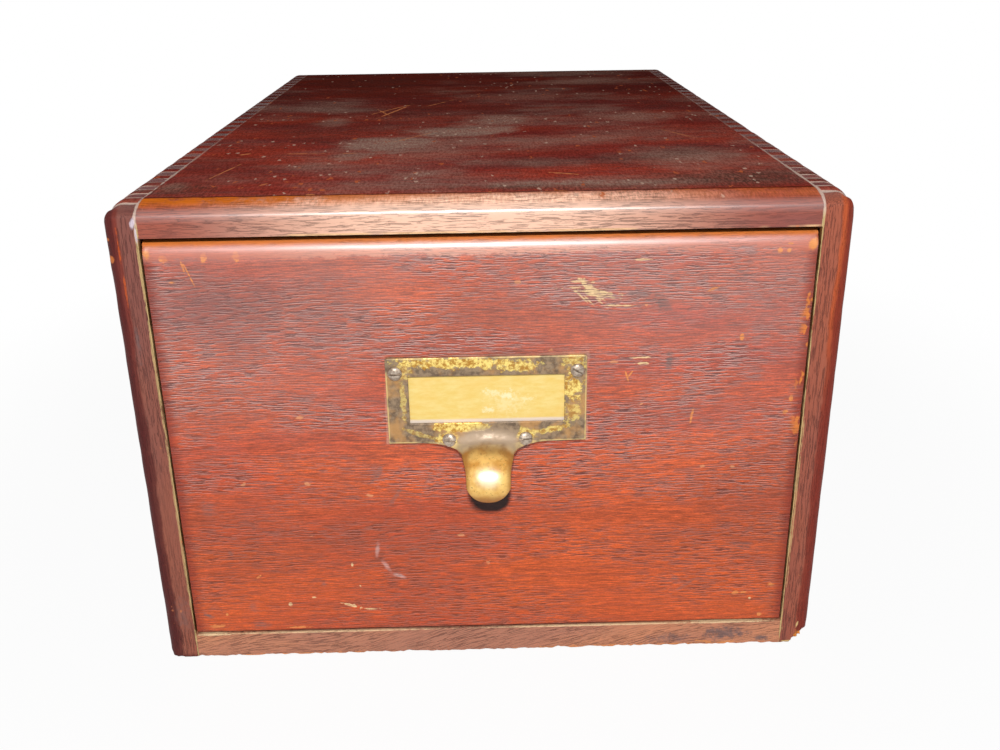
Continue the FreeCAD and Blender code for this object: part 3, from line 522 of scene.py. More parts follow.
def caseWood(name, along, **look):
    # stained boards of the case: dust on what faces up, glue in the seams and round the fingers
    shared = dict(along=along, wander=0.008, pore=(48, 26, 30), shine=(190, 140, 130))
    look = dict(shared, **look)
    material, shader, place, figure = woodMaterial(name, look)
    x, y, z = split(place)
    # the front ends of the boards have faded
    facing = step(y, -0.1805, -0.1875)
    faded = mixColour(figure.tone, look["frontTone"], look["frontWarm"])
    colour = mixColour(facing * look["frontShare"], figure.color, faded)
    # a painted sheen: the fronts lighter in the middle
    if "frontMiddle" in look:
        centred = step(abs(x + 0.005), 0.105, 0.02, 0.0, 0.95)
        colour = mixColour(facing * centred, colour, look["frontMiddle"])
    colour = mixColour(figure.pores * (facing * 0.5), colour, look["dark"])
    rough, coat = roughened(place, 40, 0.44, 0.6), 0.1
    if "dust" in look:
        colour, veil = dustyTop(colour, place, look)
        rough = rough + veil * 0.25
    else:
        # painted light: the tops of the boards darker towards the back
        backShaded = shaded(colour, step(y, -0.185, -0.02, 0.95, 0.45))
        colour = mixColour(step(z, 0.1772, 0.1788), colour, backShaded)
    caseBox = ((-0.125, case["frontY"] * mm, 0.0), (0.125, case["rearY"] * mm, 0.1793))
    colour = edgeWearAndShade(colour, place, caseBox, **look["wear"])
    if "arris" in look:
        # the rounded outer arris of the front end, darker or rubbed orange
        wobble = (noiseAt(place, (60, 60, 45), 3, 0.6, (2, 9, 4)) - 0.5) * 0.004
        outer = abs(x) + wobble
        arrisTone = mixColour(step(z + wobble * 8.0, 0.09, 0.155), look["arrisLow"], look["arris"])
        colour = mixColour(step(outer, 0.1197, 0.1208) * (facing * 0.8), colour, arrisTone)
        colour = mixColour(step(outer, 0.1211, 0.1224) * (facing * 0.85), colour, look["arrisLow"])
    if "roll" in look:
        colour = rolledFront(colour, place, look["roll"])
        # shadow under the top board and a pale lip over it
        under = step(z, 0.1686, 0.1684) * step(y, -0.1934, -0.193)
        colour = mixColour(under, colour, (24, 12, 10))
        lip = (z > 0.1683) * (z < 0.169) * (y < -0.193)
        lip = lip * step(noiseAt(place, (26, 40, 40), 3, 0.7, (6, 2, 2)), 0.44, 0.54)
        colour = mixColour(lip * 0.85, colour, (238, 190, 140))
        coat = step(z, 0.1728, 0.1748, 0.34, 1.0) * step(z, 0.1782, 0.1766)
    glue = glueLines(place, figure.tone)
    glueTone = mixColour(step(z, 0.17, 0.176), (214, 188, 128), (222, 194, 178))
    colour = mixColour(glue * 0.85, colour, glueTone)
    if "arris" in look:
        colour = bareMouth(colour, place)
    for tint, rows in look.get("marks", []):
        colour = marked(colour, place, tint, rows, look["markGrit"])
    nicks = useGroup(flecks, position=place, scale=(360, 360, 300), size=0.22,
                     amount=step(z, 0.08, 0.03, 0.02, look.get("lowNicks", 0.03)))
    colour = mixColour(nicks.mask * 0.6, colour, (206, 122, 78))
    setShader(shader, figure.height - glue * 1.5, 0.12, {
        "Base Color": colour, "Roughness": rough, "Specular IOR Level": look.get("specular", 0.06),
        "Coat Weight": facing * coat, "Coat Roughness": 0.34, "Coat IOR": 2.0})
    return material


frontFinish = frontWood()
topFinish = caseWood(
    "topWood", "xFlat", dust=0.9, lines=0.25, wander=0.005, fibre=0.6, pores=0.5, glints=0.3, specular=0.0,
    ground=(124, 44, 38), warm=(150, 52, 36), dark=(80, 38, 36), roll=(226, 118, 36),
    wear=dict(width=1.6, ragged=3.0, grit=80.0, amount=0.6, tint=(190, 84, 40)), frontShare=0.85,
    frontTone=(136, 78, 72), frontWarm=(162, 84, 64), frontMiddle=(255, 206, 178),
    smears=onTop([
        (-38, -84, 30, 26, 12, 0.3, 0.6, 1.0), (-8, -52, 34, 22, -14, 0.3, 0.7, 0.95),
        (10, -20, 26, 26, -30, 0.35, 0.8, 0.75), (-52, -112, 12, 20, 24, 0.4, 0.8, 0.7),
        (-70, -18, 14, 20, 0, 0.3, 0.9, 0.7), (73, -16, 36, 26, 5, 0.3, 0.9, 0.6),
        (80, -120, 36, 30, -5, 0.35, 0.9, 0.7), (20, -130, 40, 14, 4, 0.35, 0.9, 0.55),
        (20, 60, 50, 30, 0, 0.35, 0.9, 0.35), (40, -170, 95, 11, 0, 0.3, 0.9, 0.9),
        (-20, -150, 22, 16, -20, 0.35, 0.9, 0.7), (-108, -165, 8, 12, 0, 0.3, 0.9, 0.7)]),
    scratches=onTop([
        (-43, 14, 0.8, 30, 17, 0.5, 0.5, 0.9), (-49, 12, 0.7, 14, -20, 0.5, 0.5, 0.8),
        (-96, -137, 0.5, 18, 12, 0.6, 0.5, 0.8), (-73, -103, 9, 0.8, 4, 0.6, 0.5, 0.7),
        (-95.5, -102, 3.0, 1.2, -40, 0.6, 0.5, 0.8), (-77, -163, 0.8, 3, 30, 0.4, 0.5, 0.8),
        (-46, 20, 0.7, 22, 28, 0.6, 0.5, 0.8), (-22, 40, 0.7, 16, 30, 0.6, 0.5, 0.7),
        (-30, -68, 0.7, 18, 34, 0.6, 0.5, 0.6), (-52, -104, 7, 0.8, -6, 0.7, 0.5, 0.6),
        (30, -152, 7, 1.0, 24, 0.7, 0.5, 0.9)])
    + onTop([
        (-58, -181, 1.8, 1.2, 0, 0.5, 0.4, 1.0), (28, -182, 2.4, 1.0, 0, 0.5, 0.4, 1.0),
        (3, -182, 0.7, 1.4, 0, 0.5, 0.4, 1.0)], 178.9)
    + onTop([(70, -183, 1.2, 1.0, 0, 0.5, 0.4, 1.0)], 178.6)
    + onTop([(88, -70, 0.6, 20, -24, 0.6, 0.5, 0.5)]))

sideWear = dict(width=3.0, ragged=3.0, grit=70.0, amount=0.9, tint=(92, 28, 25))
sideLook = dict(lines=0.1, pores=0.15, fibre=0.4, glints=0.25, ground=(110, 42, 36),
                warm=(132, 52, 38), dark=(70, 34, 34), frontShare=0.85, markGrit=220.0)
leftFinish = caseWood(
    "leftSideWood", "z", **sideLook, wear=sideWear, lowNicks=0.4, shift=(0.4, 0.1, 0.2),
    frontTone=(136, 84, 74), frontWarm=(158, 94, 74), arris=(118, 42, 32),
    arrisLow=(84, 28, 26), marks=[
        ((204, 172, 118), onFront([
            (-114.5, 157, 0.5, 18, 0, 0.4, 0.5, 0.8), (-114.5, 120, 0.45, 28, 0, 0.5, 0.5, 0.75),
            (-114.5, 60, 0.4, 48, 0, 0.6, 0.5, 0.6)], -193.6)),
        ((228, 212, 224), onFront([(-115.0, 173.4, 1.2, 2.4, 20, 0.35, 0.6, 0.9)], -193.0)
         + onFront([(-114.3, 169.5, 0.5, 4.0, 0, 0.4, 0.6, 0.8)], -193.6)),
        ((206, 92, 38), onFront([
            (-120.6, 166, 0.5, 7, 0, 0.5, 0.7, 0.9), (-120.4, 150, 0.4, 7, 0, 0.6, 0.7, 0.7)], -193.4)),
        ((104, 92, 92), onFront([
            (-119, 132, 1.2, 9, 0, 0.6, 0.9, 0.55), (-118, 20, 4, 10, 0, 0.7, 0.9, 0.4)], -193.6)),
        ((214, 122, 60), onFront([
            (-124.2, 161, 2, 1.6, 0, 0.4, 0.4, 0.95), (-124.2, 168, 1, 1.0, 0, 0.4, 0.4, 0.8)], -192.5, 4))])
rightFinish = caseWood(
    "rightSideWood", "z", **sideLook, wear=dict(sideWear, width=2.2, tint=(112, 36, 26)),
    shift=(1.4, 0.7, 0.5), frontTone=(148, 86, 74), frontWarm=(172, 96, 72),
    arris=(192, 86, 42), arrisLow=(128, 44, 30), marks=[
        ((226, 140, 64), onFront([(122.6, 3.0, 3.2, 3.8, 0, 0.5, 0.3, 1.0)], -193.0)),
        ((226, 192, 132), onFront([
            (120.5, 9.0, 0.5, 1.6, 10, 0.5, 0.4, 0.9), (118.0, 1.0, 5.0, 0.6, 0, 0.6, 0.4, 0.9),
            (114.8, 60, 0.4, 48, 0, 0.6, 0.5, 0.5)], -193.6))])
footFinish = caseWood(
    "bottomWood", "x", fibre=0.6, tilt=9.0, lines=0.8, pores=0.6, glints=0.2, wander=0.03, shift=(0, 0.3, 0),
    ground=(136, 66, 44), warm=(164, 84, 52), dark=(70, 34, 34), frontShare=0.78,
    wear=dict(width=1.4, ragged=2.6, grit=110.0, amount=0.6, tint=(206, 120, 70)),
    frontTone=(194, 136, 112), frontWarm=(222, 154, 116), markGrit=500.0, marks=[
        ((246, 212, 166), onFront([(-107, 10.7, 7.5, 0.8, 0, 0.3, 0.5, 0.95)], -193.6)
         + onFront([
            (-60, 10.8, 60, 0.5, 0, 0.2, 0.5, 0.8), (40, 10.8, 60, 0.5, 0, 0.2, 0.5, 0.9)], -193.4, 0.7)
         + onFront([(92, 10.8, 22, 0.55, 0, 0.4, 0.5, 0.95)], -193.6)),
        ((58, 24, 18), onFront([(0, 11.0, 130, 0.4, 0, 0.02, 0.15, 0.9)], -189.4, 3.2)),
        ((104, 92, 94), onFront([
            (92, 5.5, 11, 3.6, 0, 0.7, 0.8, 0.75), (70, 4.0, 10, 2.4, 0, 0.8, 0.8, 0.5),
            (107, 3.0, 3.5, 2.0, 0, 0.6, 0.8, 0.8)], -193.6)),
        ((228, 150, 92), onFront([
            (-70, 0.6, 36, 0.7, 0, 0.7, 0.5, 0.9), (60, 0.8, 50, 0.8, 0, 0.7, 0.5, 0.9),
            (84, 2.0, 5, 0.6, 8, 0.6, 0.5, 0.8), (94, 1.2, 4, 1.0, 0, 0.6, 0.5, 0.9)], -193.6))])
print("case and drawer finishes built")


def plainWood(name, box, along, ground, warm, dark):
    look = dict(along=along, wander=0.008, ground=ground, warm=warm, dark=dark, pore=(96, 66, 44),
                shine=(226, 200, 160), lines=0.35, pores=0.45, glints=0.15)
    material, shader, place, figure = woodMaterial(name, look)
    colour = edgeWearAndShade(figure.color, place, box, 1.4, 2.0, 140.0, 0.5, (120, 84, 54))
    soil = step(noiseAt(place, 18, 4, 0.6), 0.48, 0.72)
    setShader(shader, figure.height, 0.16, {"Base Color": mixColour(soil * 0.35, colour, (122, 92, 66)),
                                            "Roughness": roughened(place, 50, 0.5, 0.68)})
    return material


def dress(material, *nodes):
    for node in nodes:
        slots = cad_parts[node].data.materials
        slots.clear()
        slots.append(material)


# the inner pieces keep the frame's shapes
paleWood = ((196, 150, 98), (212, 168, 112), (158, 112, 70))
panelWood = ((142, 84, 54), (160, 98, 62), (96, 56, 38))
buttonWood = ((150, 96, 58), (170, 112, 70), (100, 62, 40))
followerWood = ((158, 88, 52), (178, 104, 60), (112, 60, 38))
for node, name, along, tones in (
        ("drawer_left_side", "drawer_left_sideWood", "y", paleWood),
        ("drawer_right_side", "drawer_right_sideWood", "y", paleWood),
        ("drawer_back", "drawer_backWood", "x", paleWood),
        ("drawer_bottom", "drawer_bottomWood", "xFlat", paleWood),
        ("back_panel", "backPanelWood", "z", panelWood), ("stop_button", "stopButtonWood", "x", buttonWood),
        ("follower_plate", "follower_plateWood", "x", followerWood),
        ("follower_foot", "follower_footWood", "x", followerWood)):
    dress(plainWood(name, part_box(node), along, *tones), node)


def brassMaterial(name, look):
    # old brass: brown tarnish, yellow where it was rubbed; the pull's grip is handled bright, and the grip
    # and the plate's rim carry painted shade and highlights
    material, shader, place = newMaterial(name)
    x, y, z = split(place)
    looks = {}
    mottle = noiseAt(place, 420, 5, 0.65)
    cloudy = noiseAt(place, 120, 3, 0.6, (3, 1, 2))
    tarnish = mixColour(step(mottle, 0.35, 0.65), look["tarnish"], look["tarnishPale"])
    tarnish = mixColour(step(cloudy, 0.45, 0.65) * 0.7, tarnish, look["rust"])
    clean = mixColour(step(noiseAt(place, 700, 4, 0.7), 0.4, 0.62), look["gold"], look["goldDark"])
    bright = spots(place, look["patches"], 420.0) if "patches" in look else step(cloudy, 0.5, 0.62)
    colour = mixColour(bright, tarnish, clean)
    if "rim" in look:
        # the plate's pale rim is a painted highlight
        rim = step(besidePlate(x, z), -0.0007, -0.0003, 0.0, 0.75)
        colour = mixColour(rim * step(cloudy, 0.35, 0.55), colour, look["rim"])
    if "gripFrom" in look:
        gripFrom, off = look["gripFrom"], x - 0.0006
        ridge = z + off * off * 26.0 + (cloudy - 0.5) * 0.003
        handled = step(ridge, gripFrom + 0.0012, gripFrom - 0.0012)
        freckles = step(noiseAt(place, 900, 3, 0.7, (1, 1, 5)), 0.56, 0.7)
        pale = step(noiseAt(place, 210, 4, 0.6, (6, 2, 1)), 0.35, 0.65)
        ochre = mixColour(pale, look["ochre"], look["pale"])
        ochre = mixColour(freckles * 0.6, ochre, look["freckle"])
        # painted shade in a band just below the shoulder ridge
        ochre = mixColour(step(ridge, gripFrom - 0.0034, gripFrom - 0.0006) * 0.75, ochre, look["brown"])
        # painted shade down the tongue's sides and on its curled tip
        ochre = mixColour(step(abs(off), 0.0058, 0.0078, 0.0, 0.7), ochre, look["side"])
        ochre = mixColour(step(z, 0.08, 0.076) * 0.85, ochre, look["side"])
        colour = mixColour(handled, colour, ochre)
        # a painted grey sheen on the shoulder ridge above the grip
        arch = step(ridge, gripFrom + 0.0068, gripFrom + 0.0035) * (1.0 - handled)
        colour = mixColour(arch * step(abs(off), 0.0125, 0.009) * 0.9, colour, look["grey"])
        bright = highest(bright, handled)
        # a painted highlight on the bulb, where the lamp's reflection falls
        colour = marked(colour, place, (255, 238, 190),
                        onFront([(0.6, 84.0, 6.0, 4.6, 0, 0.15, 0.8, 0.7)], -210.0))
        # the crest is polished by fingers
        crest = spots(place, onFront([(0.6, 85.4, 6.4, 4.4, 0, 0.12, 0.7, 1.0)], -210.0))
        looks = {"Coat Weight": crest, "Coat Roughness": 0.4, "Coat IOR": 3.0}
    rough = step(mottle, 0.3, 0.7, look["rough"] - 0.06, look["rough"] + 0.12) - bright * 0.04
    setShader(shader, mottle + bright * -0.4, 0.06, {
        "Base Color": colour, "Metallic": step(bright, 0.0, 1.0, 0.2, 0.45), "Roughness": rough, **looks})
    return material


plateFront = case["frontY"] - 1.6
holderBrass = brassMaterial("holderBrass", dict(
    tarnish=(100, 80, 62), tarnishPale=(158, 134, 106), rust=(204, 150, 86),
    gold=(255, 228, 132), goldDark=(186, 132, 48), rough=0.42, rim=(236, 206, 138),
    gripFrom=0.0925, ochre=(220, 162, 76), pale=(250, 206, 120), freckle=(120, 84, 36),
    grey=(160, 136, 110), brown=(112, 76, 40), side=(168, 112, 44), patches=onFront([
        (-9, 122.4, 27, 2.4, 1, 0.7, 0.4, 1.0), (12, 121.0, 8, 2.6, 0, 0.8, 0.4, 0.9),
        (31.5, 122.0, 4.6, 3.0, 0, 0.8, 0.4, 0.7), (-28.5, 120.0, 3.2, 4.0, 0, 0.8, 0.4, 0.6),
        (30.8, 112.8, 4.4, 4.8, 0, 0.9, 0.35, 1.0), (31.0, 103.5, 3.6, 4.8, 0, 1.0, 0.35, 0.65),
        (-8.5, 98.2, 11.5, 2.3, 0, 0.3, 0.2, 1.0), (-14, 93.5, 5.0, 3.4, 0, 0.5, 0.5, 0.85),
        (15, 94.6, 5.0, 3.2, 0, 0.5, 0.5, 0.85), (24, 96.4, 8.0, 1.4, -14, 0.7, 0.4, 0.8),
        (-24, 95.6, 7.0, 1.0, 20, 0.7, 0.4, 0.5), (-28.8, 108, 1.2, 9, 0, 0.7, 0.4, 0.55)], plateFront)))
stemBrass = brassMaterial("stemBrass", dict(
    tarnish=(120, 92, 60), tarnishPale=(150, 120, 78), rust=(170, 112, 56),
    gold=(206, 164, 84), goldDark=(168, 122, 56), rough=0.4))


def steelMaterial(name, ground, pale, rust, rough):
    material, shader, place = newMaterial(name)
    mottle = noiseAt(place, 900, 4, 0.6)
    colour = mixColour(step(mottle, 0.35, 0.65), ground, pale)
    spotty = step(noiseAt(place, 380, 4, 0.7, (1, 7, 2)), 0.56, 0.68)
    setShader(shader, mottle, 0.03, {"Base Color": mixColour(spotty * 0.5, colour, rust), "Metallic": 0.55,
                                     "Roughness": step(mottle, 0.3, 0.7, rough - 0.06, rough + 0.12)})
    return material


screwSteel = steelMaterial("screwPewter", (146, 128, 112), (196, 180, 162), (120, 88, 64), 0.36)
ironDark = steelMaterial("ironDark", (84, 76, 70), (122, 112, 102), (120, 74, 48), 0.45)


def cardStock():
    look = dict(paper=(240, 206, 112), pale=(246, 222, 146), rubbed=(254, 244, 200), foot=(240, 226, 220))
    material, shader, place = newMaterial("cardStock")
    fibres = noiseAt(place, (260, 260, 900), 4, 0.6)
    colour = mixColour(step(fibres, 0.2, 0.8), look["paper"], look["pale"])
    age = step(noiseAt(place, (60, 60, 90), 3, 0.6), 0.42, 0.7)
    colour = mixColour(age * 0.3, colour, (244, 196, 96))
    # rubbed pale in the middle and along the foot
    colour = marked(colour, place, look["rubbed"], onFront([
        (8.2, 109.6, 3.2, 2.4, 0, 0.9, 0.9, 0.8), (3.0, 110.6, 5.0, 1.6, 10, 1.0, 0.9, 0.55),
        (1.2, 104.0, 2.6, 1.5, 0, 0.9, 0.9, 0.7), (14.5, 108.0, 4.0, 1.2, 0, 1.0, 0.9, 0.45),
        (8.0, 106.6, 9.0, 6.0, 0, 0.9, 1.0, 0.3)], -194), 700.0)
    foot = step(split(place)[2] + fibres * 0.0006, 0.1014, 0.1004)
    setShader(shader, fibres, 0.04, {"Base Color": mixColour(foot * 0.8, colour, look["foot"]),
                                     "Roughness": 0.7, "Specular IOR Level": 0.2})
    return material


def feltMaterial():
    material, shader, place = newMaterial("feltPad")
    hairs = noiseAt(place, 1600, 5, 0.7)
    colour = mixColour(step(hairs, 0.3, 0.7), (66, 62, 48), (104, 96, 74))
    setShader(shader, hairs, 0.3, {"Base Color": colour, "Roughness": 0.95})
    return material


cardFinish = cardStock()
dress(feltMaterial(), "clamp_pad")
dress(stemBrass, "clamp_bolt", "clamp_lever")
dress(ironDark, "clamp_shoe", "clamp_pin", "foot_brads", "back_brads", "stop_screw")
print("all finishes built")


def cellSkin(xs, ys, zs, isFilled):
    # the outer faces of the filled cells between the planes xs, ys and zs
    numbers, corners, faces = {}, [], []
    middle = lambda planes, n: (planes[n] + planes[n + 1]) / 2
    filled = {(i, j, k) for i in range(len(xs) - 1) for j in range(len(ys) - 1) for k in range(len(zs) - 1)
              if isFilled(middle(xs, i), middle(ys, j), middle(zs, k))}
    # each way out of a cell, then the four corners of the face on that side
    ways = (((-1, 0, 0), "000 001 011 010"), ((1, 0, 0), "100 110 111 101"), ((0, -1, 0), "000 100 101 001"),
            ((0, 1, 0), "010 011 111 110"), ((0, 0, -1), "000 010 110 100"), ((0, 0, 1), "001 101 111 011"))
    for i, j, k in sorted(filled):
        for (di, dj, dk), shape in ways:
            if (i + di, j + dj, k + dk) in filled:
                continue
            face = []
            for a, b, c in shape.split():
                key = (i + int(a), j + int(b), k + int(c))
                if key not in numbers:
                    numbers[key] = len(corners)
                    corners.append((xs[key[0]], ys[key[1]], zs[key[2]]))
                face.append(numbers[key])
            faces.append(face)
    return corners, faces


def planes(start, end, gap, *rolls):
    # cutting planes from start to end about gap apart, closer in each roll (from, to, count)
    marks = {round(start, 4), round(end, 4)}
    for low, high, count in rolls:
        marks.update(round(low + (high - low) * n / count, 4) for n in range(count + 1))
    ordered = sorted(marks)
    for low, high in zip(ordered, ordered[1:]):
        extra = int((high - low) / gap)
        marks.update(round(low + (high - low) * n / (extra + 1), 4) for n in range(1, extra + 1))
    return sorted(m for m in marks if start - 1e-6 <= m <= end + 1e-6)


def rollOff(inA, inB, radiusA, radiusB=None):
    # inA and inB are the depths below two faces that meet; returns them after the arris is rounded
    radiusB = radiusB or radiusA
    u, v = 1 - inA / radiusA, 1 - inB / radiusB
    if u <= 0 or v <= 0:
        return inA, inB
    pull = max(u, v) / math.hypot(u, v)
    return radiusA * (1 - u * pull), radiusB * (1 - v * pull)


def newPiece(name, corners, faces, body, material, sharp=40):
    mesh = bpy.data.meshes.new(name)
    mesh.from_pydata([[c * mm for c in corner] for corner in corners], [], faces)
    mesh.validate()
    mesh.update()
    mesh.shade_smooth()
    mesh.set_sharp_from_angle(angle=math.radians(sharp))
    mesh.materials.append(material)
    piece = bpy.data.objects.new(name, mesh)
    bpy.context.scene.collection.objects.link(piece)
    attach(piece, body)
    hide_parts(name)
    return piece


def ripple(x, y, z, size):
    return noise.noise(Vector((x, y, z)) / size)


def fade(inA, inB, reach):
    # full at the arris between two faces, nought once reach below either
    return (1 - inA / reach) * (1 - inB / reach)


# rolls, chips and steps of the case's outside
wear = dict(longRoll=6.0, footRoll=3.2, frontRoll=3.2, rearRoll=2.5, rearTopRoll=1.5, frontFootRoll=1.2,
            topRollDepth=12.0, topRollHeight=4.5, fingerStep=0.14, chipDepth=1.1, cornerChip=2.6,
            chipReach=6.5)


def wornCase(x, y, z):
    # rounds the outer arrises of the case, then wears and chips them
    c, w = case, wear
    side = 1 if x > 0 else -1
    inSide, top, foot = c["halfWidth"] - abs(x), c["top"] - z, z
    front, rear = y - c["frontY"], c["rearY"] - y
    inSide, top = rollOff(inSide, top, w["longRoll"])
    if foot < c["wall"]:
        inSide, foot = rollOff(inSide, foot, w["footRoll"])
    inSide, front = rollOff(inSide, front, w["frontRoll"])
    if rear < c["wall"]:
        inSide, rear = rollOff(inSide, rear, w["rearRoll"])
    if z > c["top"] / 2:
        front, top = rollOff(front, top, w["topRollDepth"], w["topRollHeight"])
        if rear < c["wall"]:
            rear, top = rollOff(rear, top, w["rearTopRoll"])
    elif front < c["wall"]:
        front, foot = rollOff(front, foot, w["frontFootRoll"])
    x, y = side * (c["halfWidth"] - inSide), (c["frontY"] + front if y < 0 else c["rearY"] - rear)
    z = c["top"] - top if z > c["top"] / 2 else foot
    # dents in the long arrises
    inSide, top, front = c["halfWidth"] - abs(x), c["top"] - z, y - c["frontY"]
    if inSide < 7 and top < 7:
        dent = max(0.0, ripple(x, y, z, 9) + 0.6 * ripple(x, y, z, 3)) * 0.35 * fade(inSide, top, 7)
        x, z = x - side * dent, z - dent
    if inSide < 7 and front < 7:
        dent = max(0.0, ripple(x, y, z, 8) + 0.7 * ripple(x, y, z, 2.5)) * 0.25 * fade(inSide, front, 7)
        x, y = x - side * dent, y + dent
    # the ragged front foot edge
    if front < 3.5 and z < 3.5:
        ragged = max(0.0, 0.25 + 0.9 * ripple(x, 0, 5, 5) + 0.8 * ripple(x, 3, 1, 1.7))
        z = z + ragged * w["chipDepth"] * fade(front, z, 3.5)
    # the corner knocked off at the right foot
    corner = math.dist((x, y, z), (c["halfWidth"], c["frontY"], 0.0))
    if corner < w["chipReach"]:
        bite = (1 - corner / w["chipReach"]) ** 0.6 * w["cornerChip"] * (1 + 0.8 * ripple(x, y, z, 1.3))
        x, y, z = x - bite * 0.75, y + bite * 0.7, z + bite * 0.75
    return x, y, z


frontRolls = [(-193.675, -187.325, 7), (-187.325, -180.975, 5)]
yPlanes = sorted(set(planes(case["frontY"], case["rearY"], 6.5, *frontRolls, (187.675, case["rearY"], 3)))
                 | {round(case["frontY"] + case["finger"] * n, 4) for n in range(case["fingers"] + 1)})
fingerSink = [random.Random(7 + n).uniform(0, wear["fingerStep"]) for n in range(case["fingers"])]


def fingerAt(y):
    return min(case["fingers"] - 1, max(0, int((y - case["frontY"]) / case["finger"])))


def inRebate(x, y, z):
    # the seat of the back panel
    return abs(x) < 119.5 and y > 187.675 and 5.5 < z < 173.8


def sideIsWood(x, y, z):
    notched = not case["wall"] < z < case["top"] - case["wall"] and fingerAt(y) % 2 == 1
    return not notched and not inRebate(x, y, z)


def boardIsWood(x, y, z):
    combed = abs(x) > case["halfWidth"] - case["wall"] and fingerAt(y) % 2 == 0
    return not combed and not inRebate(x, y, z)


def caseBoard(name, xs, zs, isFilled, material):
    corners, faces = cellSkin(xs, yPlanes, zs, isFilled)
    moved = []
    for x, y, z in (wornCase(*corner) for corner in corners):
        # each finger of a side stands a hair below the top
        depth = fingerSink[fingerAt(y + (0.01 if y < 0 else -0.01))]
        share = max(0.0, (z - (case["top"] - case["wall"])) / case["wall"]) if isFilled is sideIsWood else 0.0
        moved.append((x, y, z - depth * share))
    newPiece(name, moved, faces, "case", material, sharp=50)


outerRoll = [114.0 + n for n in range(12)]
bothEnds = outerRoll + [-x for x in outerRoll] + [-119.5, 119.5]
sideX = outerRoll + [118.75, 119.25, 119.5]
sideZ = planes(0, case["top"], 5.0, (0, 3.8, 5), (3.8, 11, 4), (168.3, 173.3, 2), (173.3, case["top"], 8),
               (5.5, 5.5, 1), (173.8, 173.8, 1))
rightZ = sorted(set(sideZ) | set(planes(0, 12, 0.8)))
topZ = sorted(set(planes(168.3, case["top"], 2.0, (173.3, case["top"], 8)) + [173.8]))
footZ = sorted(set(planes(0, 11, 2.0, (0, 3.8, 5)) + [5.5]))
caseBoard("left_side", sorted(-x for x in sideX), sideZ, sideIsWood, leftFinish)
caseBoard("right_side", sorted(sideX), rightZ, sideIsWood, rightFinish)
caseBoard("top_board", sorted(set(bothEnds + planes(-114, 114, 7.0))), topZ, boardIsWood, topFinish)
caseBoard("bottom_board", sorted(set(bothEnds + planes(-114, 114, 1.2))), footZ, boardIsWood, footFinish)
print("case boards built")

front = dict(half=113.4, low=11.3, high=167.2, upperRoll=5.5, sideRoll=0.5, lowerRoll=1.5, dentReach=5)


def wornFront(x, y, z):
    f = front
    side, isUpper = (1 if x > 0 else -1), z > 90
    inSide, depth, top, foot = f["half"] - abs(x), y - case["frontY"], f["high"] - z, z - f["low"]
    inSide, depth = rollOff(inSide, depth, f["sideRoll"])
    if isUpper:
        depth, top = rollOff(depth, top, f["upperRoll"])
    else:
        depth, foot = rollOff(depth, foot, f["lowerRoll"])
    x, y = side * (f["half"] - inSide), case["frontY"] + depth
    z = f["high"] - top if isUpper else f["low"] + foot
    edge = min(f["half"] - abs(x), f["high"] - z, z - f["low"])
    if edge < f["dentReach"] and y - case["frontY"] < f["dentReach"]:
        dent = max(0.0, ripple(x, y, z, 7) + 0.7 * ripple(x, y, z, 2)) * 0.28
        y += dent * fade(edge, y - case["frontY"], f["dentReach"])
    return x, y, z


half, low, high = front["half"], front["low"], front["high"]
corners, faces = cellSkin(planes(-half, half, 4.0, (-half, -110.4, 5), (110.4, half, 5)),
                          planes(case["frontY"], -176.675, 4.0, (case["frontY"], -188.175, 8)),
                          planes(low, high, 4.0, (low, 12.8, 3), (161.7, high, 8)), lambda x, y, z: True)
frontPiece = newPiece("drawer_front", [wornFront(*corner) for corner in corners], faces, "drawer",
                      frontFinish, sharp=50)
for node in ("drawer_left_side", "drawer_right_side", "drawer_bottom"):
    cutter = frontPiece.modifiers.new("seatOf_" + node, "BOOLEAN")
    cutter.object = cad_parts[node]
    cutter.operation = "DIFFERENCE"
    cutter.solver = "EXACT"
print("drawer front built")

# the plate has a window and a pocket; below it the pull is a cove, a slope and a bulb in a tongue
holder = dict(shift=0.6, halfPlate=35.3, low=91.9, high=124.5, thick=1.6, corner=0.9, halfWindow=27.45,
              windowLow=99.5, windowHigh=117.5, halfPocket=28.8, pocketLow=98.3, pocketShare=0.4375,
              halfTongue=7.85, cove=8.8, bulb=8.8, slope=63.0, lip=46.0, sheet=1.3, reach=17.4, rise=7.5,
              crown=3.0, bell=21.0, neckFillet=0.45, tipFall=7.4, dip=3.4, dipReach=5.0)
slope, lip = math.radians(holder["slope"]), math.radians(holder["lip"])
coveTop = holder["low"] + holder["rise"]
coveDepth = holder["thick"] + holder["cove"] * (1 - math.cos(slope))
bulbDepth = holder["reach"] - holder["bulb"] * (1 - math.cos(slope))
coveFoot = coveTop - holder["cove"] * math.sin(slope)
bulbTop = coveFoot - (bulbDepth - coveDepth) / math.tan(slope)
bulbMiddle = bulbTop - holder["bulb"] * math.sin(slope)
pullLow = bulbTop - holder["bulb"] * (math.sin(slope) + math.sin(lip))


def pullProfile(z):
    # depth in front of the wood and the angle of the outward normal above level
    h = holder
    if z >= coveTop:
        return h["thick"], 0.0
    if z > coveFoot:
        angle = math.asin((coveTop - z) / h["cove"])
        return h["thick"] + h["cove"] * (1 - math.cos(angle)), angle
    if z > bulbTop:
        return coveDepth + (coveFoot - z) * math.tan(slope), slope
    angle = math.asin(max(-1.0, min(1.0, (z - bulbMiddle) / h["bulb"])))
    return h["reach"] - h["bulb"] * (1 - math.cos(angle)), angle


def easeStep(value):
    value = max(0.0, min(1.0, value))
    return value * value * (3 - 2 * value)


